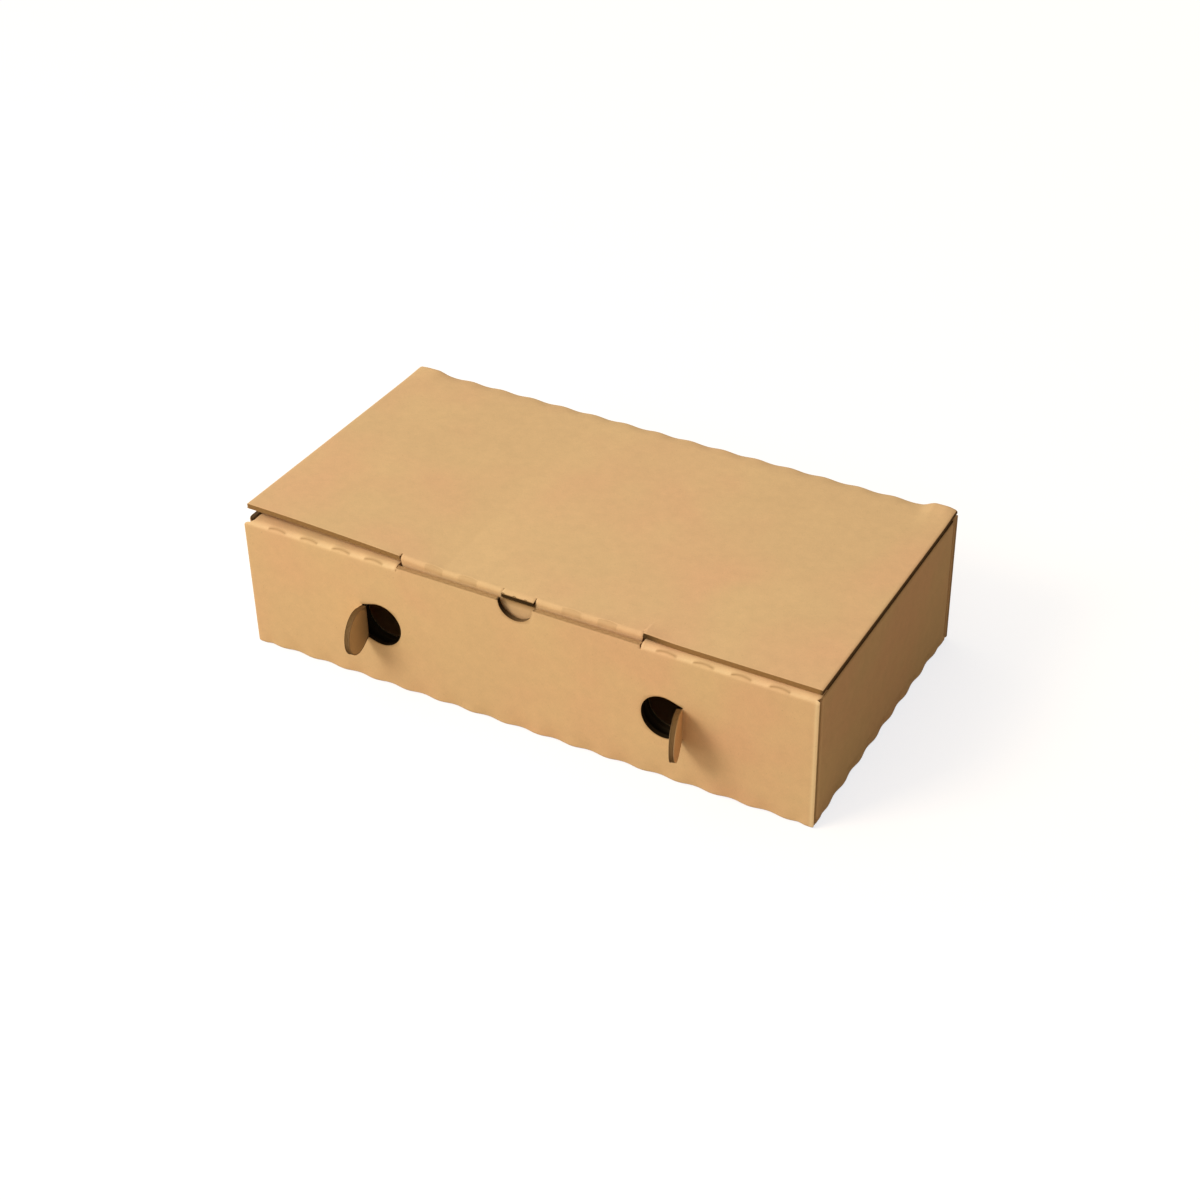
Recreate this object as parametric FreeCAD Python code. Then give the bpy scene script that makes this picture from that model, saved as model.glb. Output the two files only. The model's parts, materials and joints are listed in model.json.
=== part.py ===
import FreeCAD, Part
import math
import os

Vector = FreeCAD.Vector

# A flat folding food box of corrugated board, in millimetres.
# Origin: middle of the underside. +X along the front to the right, +Y to the back, +Z up.

# Driving dimensions of the box.
LENGTH = 330.0
DEPTH = 175.0
WALL_HEIGHT = 79.7
BOARD = 3.0
SHEET_GAP = 0.2

# The rolled front wall: outer panel, flat ridge, inner panel locked into the base.
RIDGE_DEPTH = 11.7
RIDGE_END_TAPER = 6.0
SLOT_HALF = 70.5
SLOT_EDGE_DROP = 0.5
NICK_WIDTH = 0.8
NICK_DEPTH = 2.6
FRONT_CORNER_RADIUS = 3.5
INNER_PANEL_HALF = 158.0
LOCK_TAB_LENGTH = 34.0
LOCK_TAB_AT = 45.0
LOCK_TAB_GAP = 0.3

# Side walls and the corner flaps that turn in at their ends.
SIDE_WALL_DROP = 1.0
FRONT_FLAP_LENGTH = 60.0
REAR_FLAP_LENGTH = 25.0
FLAP_SHOULDER_DROP = 5.0
FLAP_TIP_DROP = 14.0
FLAP_TIP_CHAMFER = 4.0
FLAP_FOOT_CHAMFER = 2.5

# Round vents in the front wall, each with a flap that stays hinged on its outer side.
VENT_AT = 83.0
VENT_HEIGHT = 38.9
VENT_RADIUS = 12.7
VENT_KERF = 0.4
INNER_VENT_RADIUS = 14.2
HINGE_REACH = 10.6
HINGE_HALF = 10.0
HINGE_KERF = 0.3
LEFT_VENT_OPEN = 82.0
RIGHT_VENT_OPEN = 107.0

# The lid, which rises from a little left of the middle to its front left corner.
LID_GAP = 0.3
LID_SIDE_INSET = 0.3
LID_FRONT_SETBACK = 4.0
LID_BACK_GAP = 0.3
HINGE_FOLD_HALF = 140.0
CORNER_LIFT = 4.6
LIFT_FROM = 45.0
LIFT_EASING = 1.6

# The lid's tuck tab, and the thumb hold at the middle of the front.
TAB_HALF = 69.5
TAB_DROP = 18.0
TAB_LEAN = 3.5
TAB_END_TAPER = 2.5
TAB_CORNER_RADIUS = 6.0
THUMB_RADIUS = 10.0
TONGUE_HALF = 9.3
TONGUE_SLIT = 0.3
TONGUE_ROOT = 5.0
TONGUE_OVERHANG = 1.4
TAB_TOP_GAP = 2.0

# Cut creases: a knife and a blunt rule take turns along every main fold.
CUT_PITCH = 20.0
CUT_LENGTH = 10.0
CUT_WIDTH = 0.5
CUT_DEPTH = 1.3
BASE_CUTS_REACH = 150.0
SIDE_CUTS_REACH = 70.0
RIDGE_CUTS_FROM = 83.5
TAB_CUTS_FROM = 30.0
TAB_CUTS_TO = 55.0
HINGE_CUTS_REACH = 130.0

# How far a cutting shape reaches past the board that it cuts.
PAST = 1.0

# Places that follow from the driving dimensions.
HALF_LENGTH = LENGTH / 2
FRONT_FACE = -DEPTH / 2
BACK_FACE = DEPTH / 2
OUTER_PANEL_INSIDE = FRONT_FACE + BOARD
INNER_PANEL_INSIDE = FRONT_FACE + RIDGE_DEPTH
INNER_PANEL_OUTSIDE = INNER_PANEL_INSIDE - BOARD
SIDE_INSIDE = HALF_LENGTH - BOARD
SIDE_TOP = WALL_HEIGHT - SIDE_WALL_DROP
BACK_INSIDE = BACK_FACE - BOARD
SLOT_EDGE = WALL_HEIGHT - SLOT_EDGE_DROP
ABOVE_BASE = BOARD + SHEET_GAP
LID_UNDERSIDE = WALL_HEIGHT + LID_GAP
LID_TOP = LID_UNDERSIDE + BOARD
LID_BACK = BACK_FACE - LID_BACK_GAP
LID_FRONT = FRONT_FACE + LID_FRONT_SETBACK
LID_HALF = HALF_LENGTH - LID_SIDE_INSET
TONGUE_BACK = LID_FRONT + TONGUE_ROOT
DIAGONAL = math.sqrt(0.5)
ALONG_X = Vector(1, 0, 0)
ALONG_Y = Vector(0, 1, 0)


def box(x0, x1, y0, y1, z0, z1):
    return Part.makeBox(x1 - x0, y1 - y0, z1 - z0, Vector(x0, y0, z0))


def fold_step(a, b):
    """Unit step along a section's path, and the board's thickness to its left."""
    along = b.sub(a).normalize()
    return Vector(-along.y, along.x, 0) * BOARD


def folded_section(path, place):
    """Face of a folded sheet: path runs along the inside of the folds and turns clockwise.

    The outer side keeps the board's thickness and rounds each fold with it.
    place turns a flat (u, v) pair into a point in the section's plane.
    """
    inner = [Vector(u, v, 0) for u, v in path]
    sides = [fold_step(a, b) for a, b in zip(inner, inner[1:])]
    point = lambda flat: place(flat.x, flat.y)
    edges = [Part.makeLine(point(a), point(b)) for a, b in zip(inner, inner[1:])]
    for k, side in enumerate(sides):
        edges.append(Part.makeLine(point(inner[k] + side), point(inner[k + 1] + side)))
    for corner, before, after in zip(inner[1:], sides, sides[1:]):
        middle = (before + after).normalize() * BOARD
        bend = Part.Arc(point(corner + before), point(corner + middle), point(corner + after))
        edges.append(bend.toShape())
    for end, side in ((inner[0], sides[0]), (inner[-1], sides[-1])):
        edges.append(Part.makeLine(point(end), point(end + side)))
    return Part.Face(Part.Wire(Part.__sortEdges__(edges)))


def folded_along_x(path, x0, x1):
    """Sheet whose folds run along X; path is in (y, z)."""
    face = folded_section(path, lambda u, v: Vector(x0, u, v))
    return face.extrude(Vector(x1 - x0, 0, 0))


def prism_xz(points, y0, y1):
    """Straight-sided outline in (x, z), extruded along Y."""
    corners = [Vector(x, y0, z) for x, z in points]
    return Part.Face(Part.makePolygon(corners + corners[:1])).extrude(Vector(0, y1 - y0, 0))


def prism_xy(points, z0, z1):
    """Straight-sided outline in (x, y), extruded along Z."""
    corners = [Vector(x, y, z0) for x, y in points]
    return Part.Face(Part.makePolygon(corners + corners[:1])).extrude(Vector(0, 0, z1 - z0))


def rod_along_y(radius, x, z, y0, y1):
    return Part.makeCylinder(radius, y1 - y0, Vector(x, y0, z), ALONG_Y)


def on_both_sides(shape):
    return [shape, shape.mirror(Vector(0, 0, 0), ALONG_X)]


# Cut creases.


def cut_mark(at, direction, normal):
    """One knife cut of a cut crease: a thin slit sunk into a fold's outer edge."""
    half_length, half_width = CUT_LENGTH / 2, CUT_WIDTH / 2
    slit = box(-half_length, half_length, -half_width, half_width, -CUT_DEPTH, CUT_DEPTH)
    turn = FreeCAD.Rotation(direction, normal.cross(direction), normal, "XZY")
    slit.Placement = FreeCAD.Placement(at, turn)
    return slit


def cut_marks(start, end, corner, outward, direction):
    """Knife cuts at even pitch along a rounded fold.

    corner is a point on the fold's square edge and outward its diagonal. start and end
    are measured from corner along direction.
    """
    edge = corner + outward * (BOARD * (1 - 1 / DIAGONAL))
    count = int((end - start) // CUT_PITCH) + 1
    places = [edge + direction * (start + k * CUT_PITCH) for k in range(count)]
    return [cut_mark(place, direction, outward) for place in places]


def base_cuts():
    """Cut creases on the four folds round the base."""
    marks = []
    for side in (-1, 1):
        outward = Vector(0, side * DIAGONAL, -DIAGONAL)
        corner = Vector(0, side * BACK_FACE, 0)
        marks += cut_marks(-BASE_CUTS_REACH, BASE_CUTS_REACH, corner, outward, ALONG_X)
        outward = Vector(side * DIAGONAL, 0, -DIAGONAL)
        corner = Vector(side * HALF_LENGTH, 0, 0)
        marks += cut_marks(-SIDE_CUTS_REACH, SIDE_CUTS_REACH, corner, outward, ALONG_Y)
    return marks


def front_cuts(corner, start, end):
    """Cut creases on a front upper fold, the same distance out on both sides of the middle."""
    outward = Vector(0, -DIAGONAL, DIAGONAL)
    right = cut_marks(start, end, corner, outward, ALONG_X)
    return right + cut_marks(start, end, corner, outward, -ALONG_X)


def hinge_cuts():
    """Cut creases on the fold that hinges the lid."""
    corner = Vector(0, LID_BACK, LID_TOP)
    outward = Vector(0, DIAGONAL, DIAGONAL)
    return cut_marks(-HINGE_CUTS_REACH, HINGE_CUTS_REACH, corner, outward, ALONG_X)


# The tray.


def base_panel():
    sheet = box(-SIDE_INSIDE, SIDE_INSIDE, -BACK_INSIDE, BACK_INSIDE, 0, BOARD)
    return sheet.cut(on_both_sides(lock_tab(LOCK_TAB_GAP)))


def back_wall():
    path = [(BACK_INSIDE, WALL_HEIGHT), (BACK_INSIDE, BOARD), (BACK_INSIDE - BOARD, BOARD)]
    return folded_along_x(path, -HALF_LENGTH, HALF_LENGTH)


def rolled_front():
    """Front wall carried over the ridge and down inside, in one run of board."""
    path = [
        (OUTER_PANEL_INSIDE + BOARD, BOARD),
        (OUTER_PANEL_INSIDE, BOARD),
        (OUTER_PANEL_INSIDE, WALL_HEIGHT - BOARD),
        (INNER_PANEL_OUTSIDE, WALL_HEIGHT - BOARD),
        (INNER_PANEL_OUTSIDE, ABOVE_BASE),
    ]
    return folded_along_x(path, -HALF_LENGTH, HALF_LENGTH)


def ridge_end_trim():
    """Slanting cut that narrows the ridge and the inner panel towards a side wall."""
    outline = [
        (HALF_LENGTH - PAST, OUTER_PANEL_INSIDE),
        (HALF_LENGTH + PAST, OUTER_PANEL_INSIDE),
        (HALF_LENGTH + PAST, INNER_PANEL_INSIDE + PAST),
        (INNER_PANEL_HALF, INNER_PANEL_INSIDE + PAST),
        (INNER_PANEL_HALF, INNER_PANEL_OUTSIDE),
        (HALF_LENGTH - RIDGE_END_TAPER, INNER_PANEL_OUTSIDE - PAST),
    ]
    return prism_xy(outline, BOARD + SHEET_GAP / 2, WALL_HEIGHT + PAST)


def front_corner_trim():
    """Takes the square top corner off the outer panel and leaves a rounded one."""
    r = FRONT_CORNER_RADIUS
    x, z = HALF_LENGTH - r, WALL_HEIGHT - r
    y0 = FRONT_FACE - PAST
    corner = box(x, HALF_LENGTH + PAST, y0, OUTER_PANEL_INSIDE, z, WALL_HEIGHT + PAST)
    return corner.cut(rod_along_y(r, x, z, y0, OUTER_PANEL_INSIDE))


def slot_band(y0, y1, z0, z1):
    return box(-SLOT_HALF, SLOT_HALF, y0, y1, z0, z1)


def tuck_slot():
    """Opening in the ridge that takes the lid's tab, level with both panels' top edges."""
    below = SLOT_EDGE - 2 * BOARD
    gap = slot_band(OUTER_PANEL_INSIDE, INNER_PANEL_OUTSIDE, below, WALL_HEIGHT + PAST)
    top = slot_band(FRONT_FACE - PAST, INNER_PANEL_INSIDE + PAST, SLOT_EDGE, WALL_HEIGHT + PAST)
    return [gap, top]


def slot_edges():
    """Square board edges of the two panels along the slot, where no fold rounds them."""
    below = SLOT_EDGE - 2 * BOARD
    outer = slot_band(FRONT_FACE, OUTER_PANEL_INSIDE, below, SLOT_EDGE)
    inner = slot_band(INNER_PANEL_OUTSIDE, INNER_PANEL_INSIDE, below, SLOT_EDGE)
    return [outer, inner]


def slot_nick():
    """Short cut that frees the outer panel at one end of the slot."""
    y0 = FRONT_FACE - PAST
    z0 = WALL_HEIGHT - NICK_DEPTH
    return box(SLOT_HALF - NICK_WIDTH, SLOT_HALF, y0, OUTER_PANEL_INSIDE, z0, WALL_HEIGHT)


def lock_tab(grow=0.0):
    """Tab on the inner panel's lower edge; grown by a gap it is also its slot in the base."""
    x0 = LOCK_TAB_AT - grow
    x1 = LOCK_TAB_AT + LOCK_TAB_LENGTH + grow
    z0 = -PAST if grow else SHEET_GAP
    return box(x0, x1, INNER_PANEL_OUTSIDE - grow, INNER_PANEL_INSIDE + grow, z0, ABOVE_BASE)


def vent_shape(side, kerf, reach, y0, y1):
    """Vent outline in the outer panel: a circle whose tangents run on to the two hinge ends.

    kerf shrinks it all round, and reach is how far from the circle's middle it stops.
    """
    radius, half = VENT_RADIUS - kerf, HINGE_HALF - kerf
    tangent = math.atan2(half, reach) + math.acos(radius / math.hypot(reach, half))
    across, up = radius * math.cos(tangent), radius * math.sin(tangent)
    corners = [(across, up), (reach, half), (reach, -half), (across, -up)]
    middle = side * VENT_AT
    towards_hinge = prism_xz([(middle + side * u, VENT_HEIGHT + v) for u, v in corners], y0, y1)
    disc = rod_along_y(radius, middle, VENT_HEIGHT, y0, y1)
    end, far = middle + side * reach, middle + side * 2 * radius
    beyond = box(min(end, far), max(end, far), y0, y1, 0, WALL_HEIGHT)
    return disc.cut(beyond).fuse(towards_hinge).removeSplitter()


def vent_cuts(side):
    """A vent through both front panels, larger and fully round in the inner one."""
    outer = vent_shape(side, 0, HINGE_REACH, FRONT_FACE - PAST, OUTER_PANEL_INSIDE + PAST)
    y0, y1 = INNER_PANEL_OUTSIDE - PAST, INNER_PANEL_INSIDE + PAST
    inner = rod_along_y(INNER_VENT_RADIUS, side * VENT_AT, VENT_HEIGHT, y0, y1)
    return [outer, inner]


def front():
    """The rolled front with its slot, thumb notch, vents and lock tabs."""
    trims = on_both_sides(ridge_end_trim()) + on_both_sides(front_corner_trim())
    solid = rolled_front().cut(trims + tuck_slot())
    solid = solid.fuse(slot_edges() + on_both_sides(lock_tab()))
    thumb = rod_along_y(THUMB_RADIUS, 0, WALL_HEIGHT, FRONT_FACE - PAST, OUTER_PANEL_INSIDE + PAST)
    return solid.cut([thumb] + vent_cuts(-1) + vent_cuts(1) + on_both_sides(slot_nick()))


def corner_flap(y_outside, inward, length):
    """Flap turned in from a side wall's end, its top edge sloping down to the tip."""
    y_inside = y_outside + inward * BOARD
    x_tip = HALF_LENGTH - length
    z_tip = SIDE_TOP - FLAP_TIP_DROP
    outline = [
        (x_tip, ABOVE_BASE + FLAP_FOOT_CHAMFER),
        (x_tip + FLAP_FOOT_CHAMFER, ABOVE_BASE),
        (SIDE_INSIDE, ABOVE_BASE),
        (SIDE_INSIDE, SIDE_TOP),
        (SIDE_INSIDE - BOARD, SIDE_TOP - FLAP_SHOULDER_DROP),
        (x_tip + FLAP_TIP_CHAMFER, z_tip),
        (x_tip, z_tip - FLAP_TIP_CHAMFER),
    ]
    return prism_xz(outline, min(y_outside, y_inside), max(y_outside, y_inside))


def vertical_fold_rounding(y_face, inward):
    """Removes the square outer edge where a side wall turns into its flap."""
    y_centre = y_face + inward * BOARD
    y0, y1 = min(y_face, y_centre), max(y_face, y_centre)
    corner = box(SIDE_INSIDE, HALF_LENGTH + PAST, y0, y1, ABOVE_BASE, WALL_HEIGHT)
    return corner.cut(Part.makeCylinder(BOARD, WALL_HEIGHT, Vector(SIDE_INSIDE, y_centre, 0)))


def side_wall():
    """Right side wall: folded up from the base and round to its two corner flaps."""
    front_y = OUTER_PANEL_INSIDE + SHEET_GAP
    back_y = BACK_INSIDE - SHEET_GAP
    path = [(BOARD - SIDE_INSIDE, BOARD), (-SIDE_INSIDE, BOARD), (-SIDE_INSIDE, SIDE_TOP)]
    section = folded_section(path, lambda u, v: Vector(-u, front_y, v))
    wall = section.extrude(Vector(0, back_y - front_y, 0))
    front_flap = corner_flap(front_y, 1, FRONT_FLAP_LENGTH)
    rear_flap = corner_flap(back_y, -1, REAR_FLAP_LENGTH)
    wall = wall.fuse([front_flap, rear_flap])
    return wall.cut([vertical_fold_rounding(front_y, 1), vertical_fold_rounding(back_y, -1)])


def tray():
    """Everything below the lid, folded from one sheet."""
    solid = base_panel().fuse([front(), back_wall()] + on_both_sides(side_wall()))
    ridge_corner = Vector(0, FRONT_FACE, WALL_HEIGHT)
    ridge_cuts = front_cuts(ridge_corner, RIDGE_CUTS_FROM, BASE_CUTS_REACH)
    return solid.cut(base_cuts() + ridge_cuts).removeSplitter()


# The lid.


def raised(x):
    """How far the lid's front edge stands above its closed height at one place along X."""
    share = max(0.0, -x - LIFT_FROM) / (LID_HALF - LIFT_FROM)
    return CORNER_LIFT * (1 - (1 - share) ** LIFT_EASING)


def turned_up(x, section):
    """Section in (y, z) placed at x and turned about the lid's lower back edge by its rise."""
    turn = FreeCAD.Rotation(ALONG_X, -math.degrees(math.asin(raised(x) / (LID_BACK - LID_FRONT))))
    section.Placement = FreeCAD.Placement(Vector(x, 0, 0), turn, Vector(0, LID_BACK, LID_UNDERSIDE))
    return section


def lid_run(section, places):
    """Sheet through the same section at each place along X, turned up by the rise there."""
    if len(places) == 2:
        section.translate(Vector(places[0], 0, 0))
        return section.extrude(Vector(places[1] - places[0], 0, 0))
    wires = [turned_up(x, section.OuterWire.copy()) for x in places]
    return Part.makeLoft(wires, True, False)


def plain_section():
    """Section of the lid where its front edge is a plain cut."""
    corners = [(LID_BACK, LID_UNDERSIDE), (LID_FRONT, LID_UNDERSIDE)]
    corners += [(LID_FRONT, LID_TOP), (LID_BACK, LID_TOP)]
    points = [Vector(0, y, z) for y, z in corners]
    return Part.Face(Part.makePolygon(points + points[:1]))


def tab_section():
    """Section of the lid with its tab folded down, leaning in a little as it drops."""
    inside = LID_FRONT + BOARD
    lean = TAB_DROP * math.tan(math.radians(TAB_LEAN))
    path = [
        (inside + lean, LID_UNDERSIDE - TAB_DROP),
        (inside, LID_UNDERSIDE),
        (LID_BACK, LID_UNDERSIDE),
    ]
    return folded_section(path, lambda u, v: Vector(0, u, v))


def lid_sheet():
    """The whole lid before its cuts: flat to the right, rising towards the left."""
    tab_rise = [-LIFT_FROM - (TAB_HALF - LIFT_FROM) * k / 3 for k in range(4)]
    corner_rise = [-TAB_HALF - (LID_HALF - TAB_HALF) * k / 4 for k in range(5)]
    flat_tab = lid_run(tab_section(), [-LIFT_FROM, TAB_HALF])
    flat_right = lid_run(plain_section(), [TAB_HALF, LID_HALF])
    raised_tab = lid_run(tab_section(), tab_rise)
    raised_corner = lid_run(plain_section(), corner_rise)
    return flat_tab.fuse([flat_right, raised_tab, raised_corner])


def hinge_fold_trim():
    """Rounds the lid's back edge along the hinge fold, between its two square ears."""
    half = HINGE_FOLD_HALF
    fold = box(-half, half, LID_BACK - BOARD, LID_BACK + PAST, LID_UNDERSIDE, LID_TOP + PAST)
    axis_start = Vector(-half, LID_BACK - BOARD, LID_UNDERSIDE)
    return fold.cut(Part.makeCylinder(BOARD, 2 * half, axis_start, ALONG_X))


def tab_end_trim(side):
    """What is cut away round one end of the tab: a taper, then a rounded lower corner."""
    r = TAB_CORNER_RADIUS
    low = LID_UNDERSIDE - TAB_DROP
    end = TAB_HALF - TAB_END_TAPER
    middle = Vector(end - r + r * DIAGONAL, 0, low + r - r * DIAGONAL)
    corner = Part.Arc(Vector(end - r, 0, low), middle, Vector(end, 0, low + r))
    points = [
        Vector(end, 0, low + r),
        Vector(TAB_HALF, 0, LID_UNDERSIDE),
        Vector(TAB_HALF + PAST, 0, LID_UNDERSIDE),
        Vector(TAB_HALF + PAST, 0, low - PAST),
        Vector(end - r, 0, low - PAST),
        Vector(end - r, 0, low),
    ]
    lines = [Part.makeLine(a, b) for a, b in zip(points, points[1:])]
    outline = Part.Face(Part.Wire(Part.__sortEdges__([corner.toShape()] + lines)))
    trim = outline.extrude(Vector(0, TAB_DROP, 0))
    trim.translate(Vector(0, LID_FRONT - PAST, raised(side * TAB_HALF)))
    return trim if side > 0 else trim.mirror(Vector(0, 0, 0), ALONG_X)


def tongue():
    """Thumb tongue that stays in the lid's plane in front of the fold."""
    front = LID_FRONT - TONGUE_OVERHANG
    return box(-TONGUE_HALF, TONGUE_HALF, front, TONGUE_BACK, LID_UNDERSIDE, LID_TOP)


def tongue_window():
    """What the U-shaped slit takes out of the fold, down to the tab's free top edge."""
    half = TONGUE_HALF + TONGUE_SLIT
    z0 = LID_UNDERSIDE - TAB_TOP_GAP
    return box(-half, half, FRONT_FACE, TONGUE_BACK, z0, LID_TOP + PAST)


def lid():
    """Lid panel with its tuck tab and thumb tongue, cut creased along both folds."""
    fold_corner = Vector(0, LID_FRONT, LID_TOP)
    tab_cuts = front_cuts(fold_corner, TAB_CUTS_FROM, TAB_CUTS_TO)
    solid = lid_sheet().cut([hinge_fold_trim(), tab_end_trim(-1), tab_end_trim(1)])
    solid = solid.cut(tongue_window()).fuse(tongue())
    return solid.cut(tab_cuts + hinge_cuts()).removeSplitter()


# The vent flaps.


def vent_flap(side, opened):
    """Disc cut free of the outer panel and swung out about its vertical hinge line."""
    reach = HINGE_REACH - HINGE_KERF
    solid = vent_shape(side, VENT_KERF, reach, FRONT_FACE, OUTER_PANEL_INSIDE)
    hinge = Vector(side * (VENT_AT + HINGE_REACH), FRONT_FACE, 0)
    solid.rotate(hinge, Vector(0, 0, 1), side * opened)
    return solid


NODES = {
    "tray": tray,
    "lid": lid,
    "left_vent_flap": lambda: vent_flap(-1, LEFT_VENT_OPEN),
    "right_vent_flap": lambda: vent_flap(1, RIGHT_VENT_OPEN),
}

os.makedirs("parts", exist_ok=True)
for name, make in NODES.items():
    shape = make()
    if len(shape.Solids) != 1 or not shape.isValid():
        raise ValueError(name + " is not one valid solid")
    shape.Solids[0].exportStep("parts/" + name + ".step")
    print(name, "volume", round(shape.Volume / 1000, 2), "cm3", shape.BoundBox)
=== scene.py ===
"""A folding food box of corrugated board: liners, fluted core, cut creases and studio stage."""

import json
import math

import bpy
import numpy as np
from bpy.props import FloatProperty, FloatVectorProperty, PointerProperty
from mathutils import Matrix, Vector


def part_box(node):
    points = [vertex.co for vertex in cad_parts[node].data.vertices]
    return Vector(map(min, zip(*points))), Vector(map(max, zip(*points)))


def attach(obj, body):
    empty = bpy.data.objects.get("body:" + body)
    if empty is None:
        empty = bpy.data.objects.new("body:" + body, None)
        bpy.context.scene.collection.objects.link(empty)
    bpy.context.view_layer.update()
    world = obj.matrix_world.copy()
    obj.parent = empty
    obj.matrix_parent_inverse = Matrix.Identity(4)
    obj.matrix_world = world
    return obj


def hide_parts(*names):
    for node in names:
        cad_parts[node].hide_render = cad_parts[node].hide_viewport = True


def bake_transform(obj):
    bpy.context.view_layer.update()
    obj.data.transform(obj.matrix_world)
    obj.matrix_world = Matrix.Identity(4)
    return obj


bl_info = {
    "name": "Corrugated food box",
    "version": (1, 0, 0),
    "blender": (4, 5, 0),
    "location": "3D View > Sidebar > Box",
    "description": "Builds the folded board, cut edges and finish of a corrugated food box",
    "category": "Add Mesh",
}

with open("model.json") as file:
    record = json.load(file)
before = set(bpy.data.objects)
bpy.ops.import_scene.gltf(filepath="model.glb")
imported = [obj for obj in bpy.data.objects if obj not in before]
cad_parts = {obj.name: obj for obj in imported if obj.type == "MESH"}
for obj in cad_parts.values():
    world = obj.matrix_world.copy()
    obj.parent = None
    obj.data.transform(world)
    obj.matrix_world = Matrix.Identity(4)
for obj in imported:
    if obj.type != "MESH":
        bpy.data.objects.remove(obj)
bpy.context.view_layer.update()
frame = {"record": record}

MM = 0.001
PER_FLUTE = 8
TOUCH = 0.0001 * MM
TRAY_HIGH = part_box("tray")[1]
LID_LOW, LID_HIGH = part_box("lid")
JOINTS = {joint["name"]: joint for joint in frame["record"]["behaviour"]["joints"]}
SIDES = {"left": -1, "right": 1}

# Tray. Heights and places come from its outer size.
HALF_LENGTH = TRAY_HIGH[0]
FACE = TRAY_HIGH[1]
WALL_TOP = TRAY_HIGH[2]
SIDE_TOP = WALL_TOP - 1.0 * MM
RIDGE_DEPTH = 11.7 * MM
INNER_FOOT = 3.2 * MM
SEAM_INSET = 4.0 * MM
SIDE_SEAM = 3.4 * MM
SHEET_GAP = 0.2 * MM
FOLD_RADIUS = 3.3 * MM
BASE_RADIUS = 1.6 * MM
CRUSH_UP, CRUSH_UNDER = 9.0 * MM, 3.3 * MM
CRUSH_FADE = 6.0 * MM
BASE_CUTS_FROM = 10.0 * MM
RIDGE_CUTS_FROM = 84.2 * MM
RIDGE_CUT_BACK = 0.6 * MM
EDGE_BAND = 150.0 * MM
FRONT_CORNER_LEFT, FRONT_CORNER_RIGHT = 3.5 * MM, 1.5 * MM
RIDGE_LEFT, RIDGE_RIGHT = 160.0 * MM, 164.6 * MM
INNER_PANEL_HALF = 158.0 * MM
SLOT_HALF = 70.5 * MM
SLOT_EDGE_DROP = 0.5 * MM
NICK_WIDTH = 0.45 * MM
NICK_DEPTH = 2.6 * MM
LOCK_TAB = (45.0 * MM, 79.0 * MM)
FRONT_FLAP = 60.0 * MM
REAR_FLAP = 25.0 * MM
FLAP_SHOULDER_DROP = 5.0 * MM
FLAP_TIP_DROP = 14.0 * MM
FLAP_TIP_CHAMFER = 4.0 * MM

# Vents and thumb hold.
VENT_AT = 83.0 * MM
VENT_HEIGHT = JOINTS["left_vent_hinge"]["pos_m"][2]
VENT_RADIUS = 12.7 * MM
INNER_VENT_RADIUS = 14.2 * MM
VENT_CHORD = JOINTS["right_vent_hinge"]["pos_m"][0] - VENT_AT
VENT_HINGE_HALF = 10.0 * MM
VENT_KERF = 0.32 * MM
VENT_HINGE_GAP = 0.3 * MM
VENT_PATCH = 16.0 * MM
VENT_OPEN = {
    side: math.radians(-JOINTS[word + "_vent_hinge"]["range_deg"][0]) for word, side in SIDES.items()
}
THUMB_RADIUS = 10.0 * MM
THUMB_PATCH = 14.0 * MM
SPACE_UNDER_THUMB = 2.0 * MM

# Lid.
LID_HALF = LID_HIGH[0]
LID_UNDERSIDE = WALL_TOP + 0.3 * MM
LID_TOP = LID_UNDERSIDE + 3.0 * MM
LID_BACK = FACE - 0.3 * MM
LID_FRONT = FACE - 4.0 * MM
TAB_FACE = LID_FRONT
TAB_FOOT = LID_LOW[2]
TAB_HALF = 69.5 * MM
TAB_END_HALF = 67.0 * MM
TAB_CORNER = 6.0 * MM
TAB_LEAN = math.radians(3.5)
LID_SLIT_WIDTH = 0.4 * MM
LID_SLIT_DEPTH = 2.6 * MM
TONGUE_HALF = 9.3 * MM
TONGUE_SLIT = 0.25 * MM
TONGUE_ROOT = 2.4 * MM
TONGUE_FRONT = TAB_FACE + 1.4 * MM
TAB_TOP_DROP = 5.0 * MM
TAB_FOLD_RADIUS = 2.3 * MM
TAB_CUTS_FROM = 50.0 * MM
TAB_CUTS = (20.0 * MM, 62.0 * MM)
TIP_PRESSED = 0.8 * MM
HINGE_RADIUS = 3.02 * MM
HINGE_CUTS_FROM = 10.0 * MM
HINGE_PRESSED, HINGE_WAVE = 0.85 * MM, 0.36 * MM
HINGE_CREASE_AT, HINGE_CREASE_WIDTH = 1.5 * MM, 4.5 * MM
HINGE_CREASE_HALF = 152.0 * MM
HINGE_STRIP_HALF = 147.0 * MM
CORNER_LIFT = LID_HIGH[2] - LID_TOP
LIFT_FROM = 45.0 * MM
LIFT_EASING = 1.6
EAR_LEFT, EAR_RIGHT = 1.0 * MM, 2.2 * MM
EAR_FROM = 146.0 * MM
EAR_REACH = 12.0 * MM
SPRUNG_EDGE = 0.9 * MM
LID_BOW = 0.12 * MM

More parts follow.
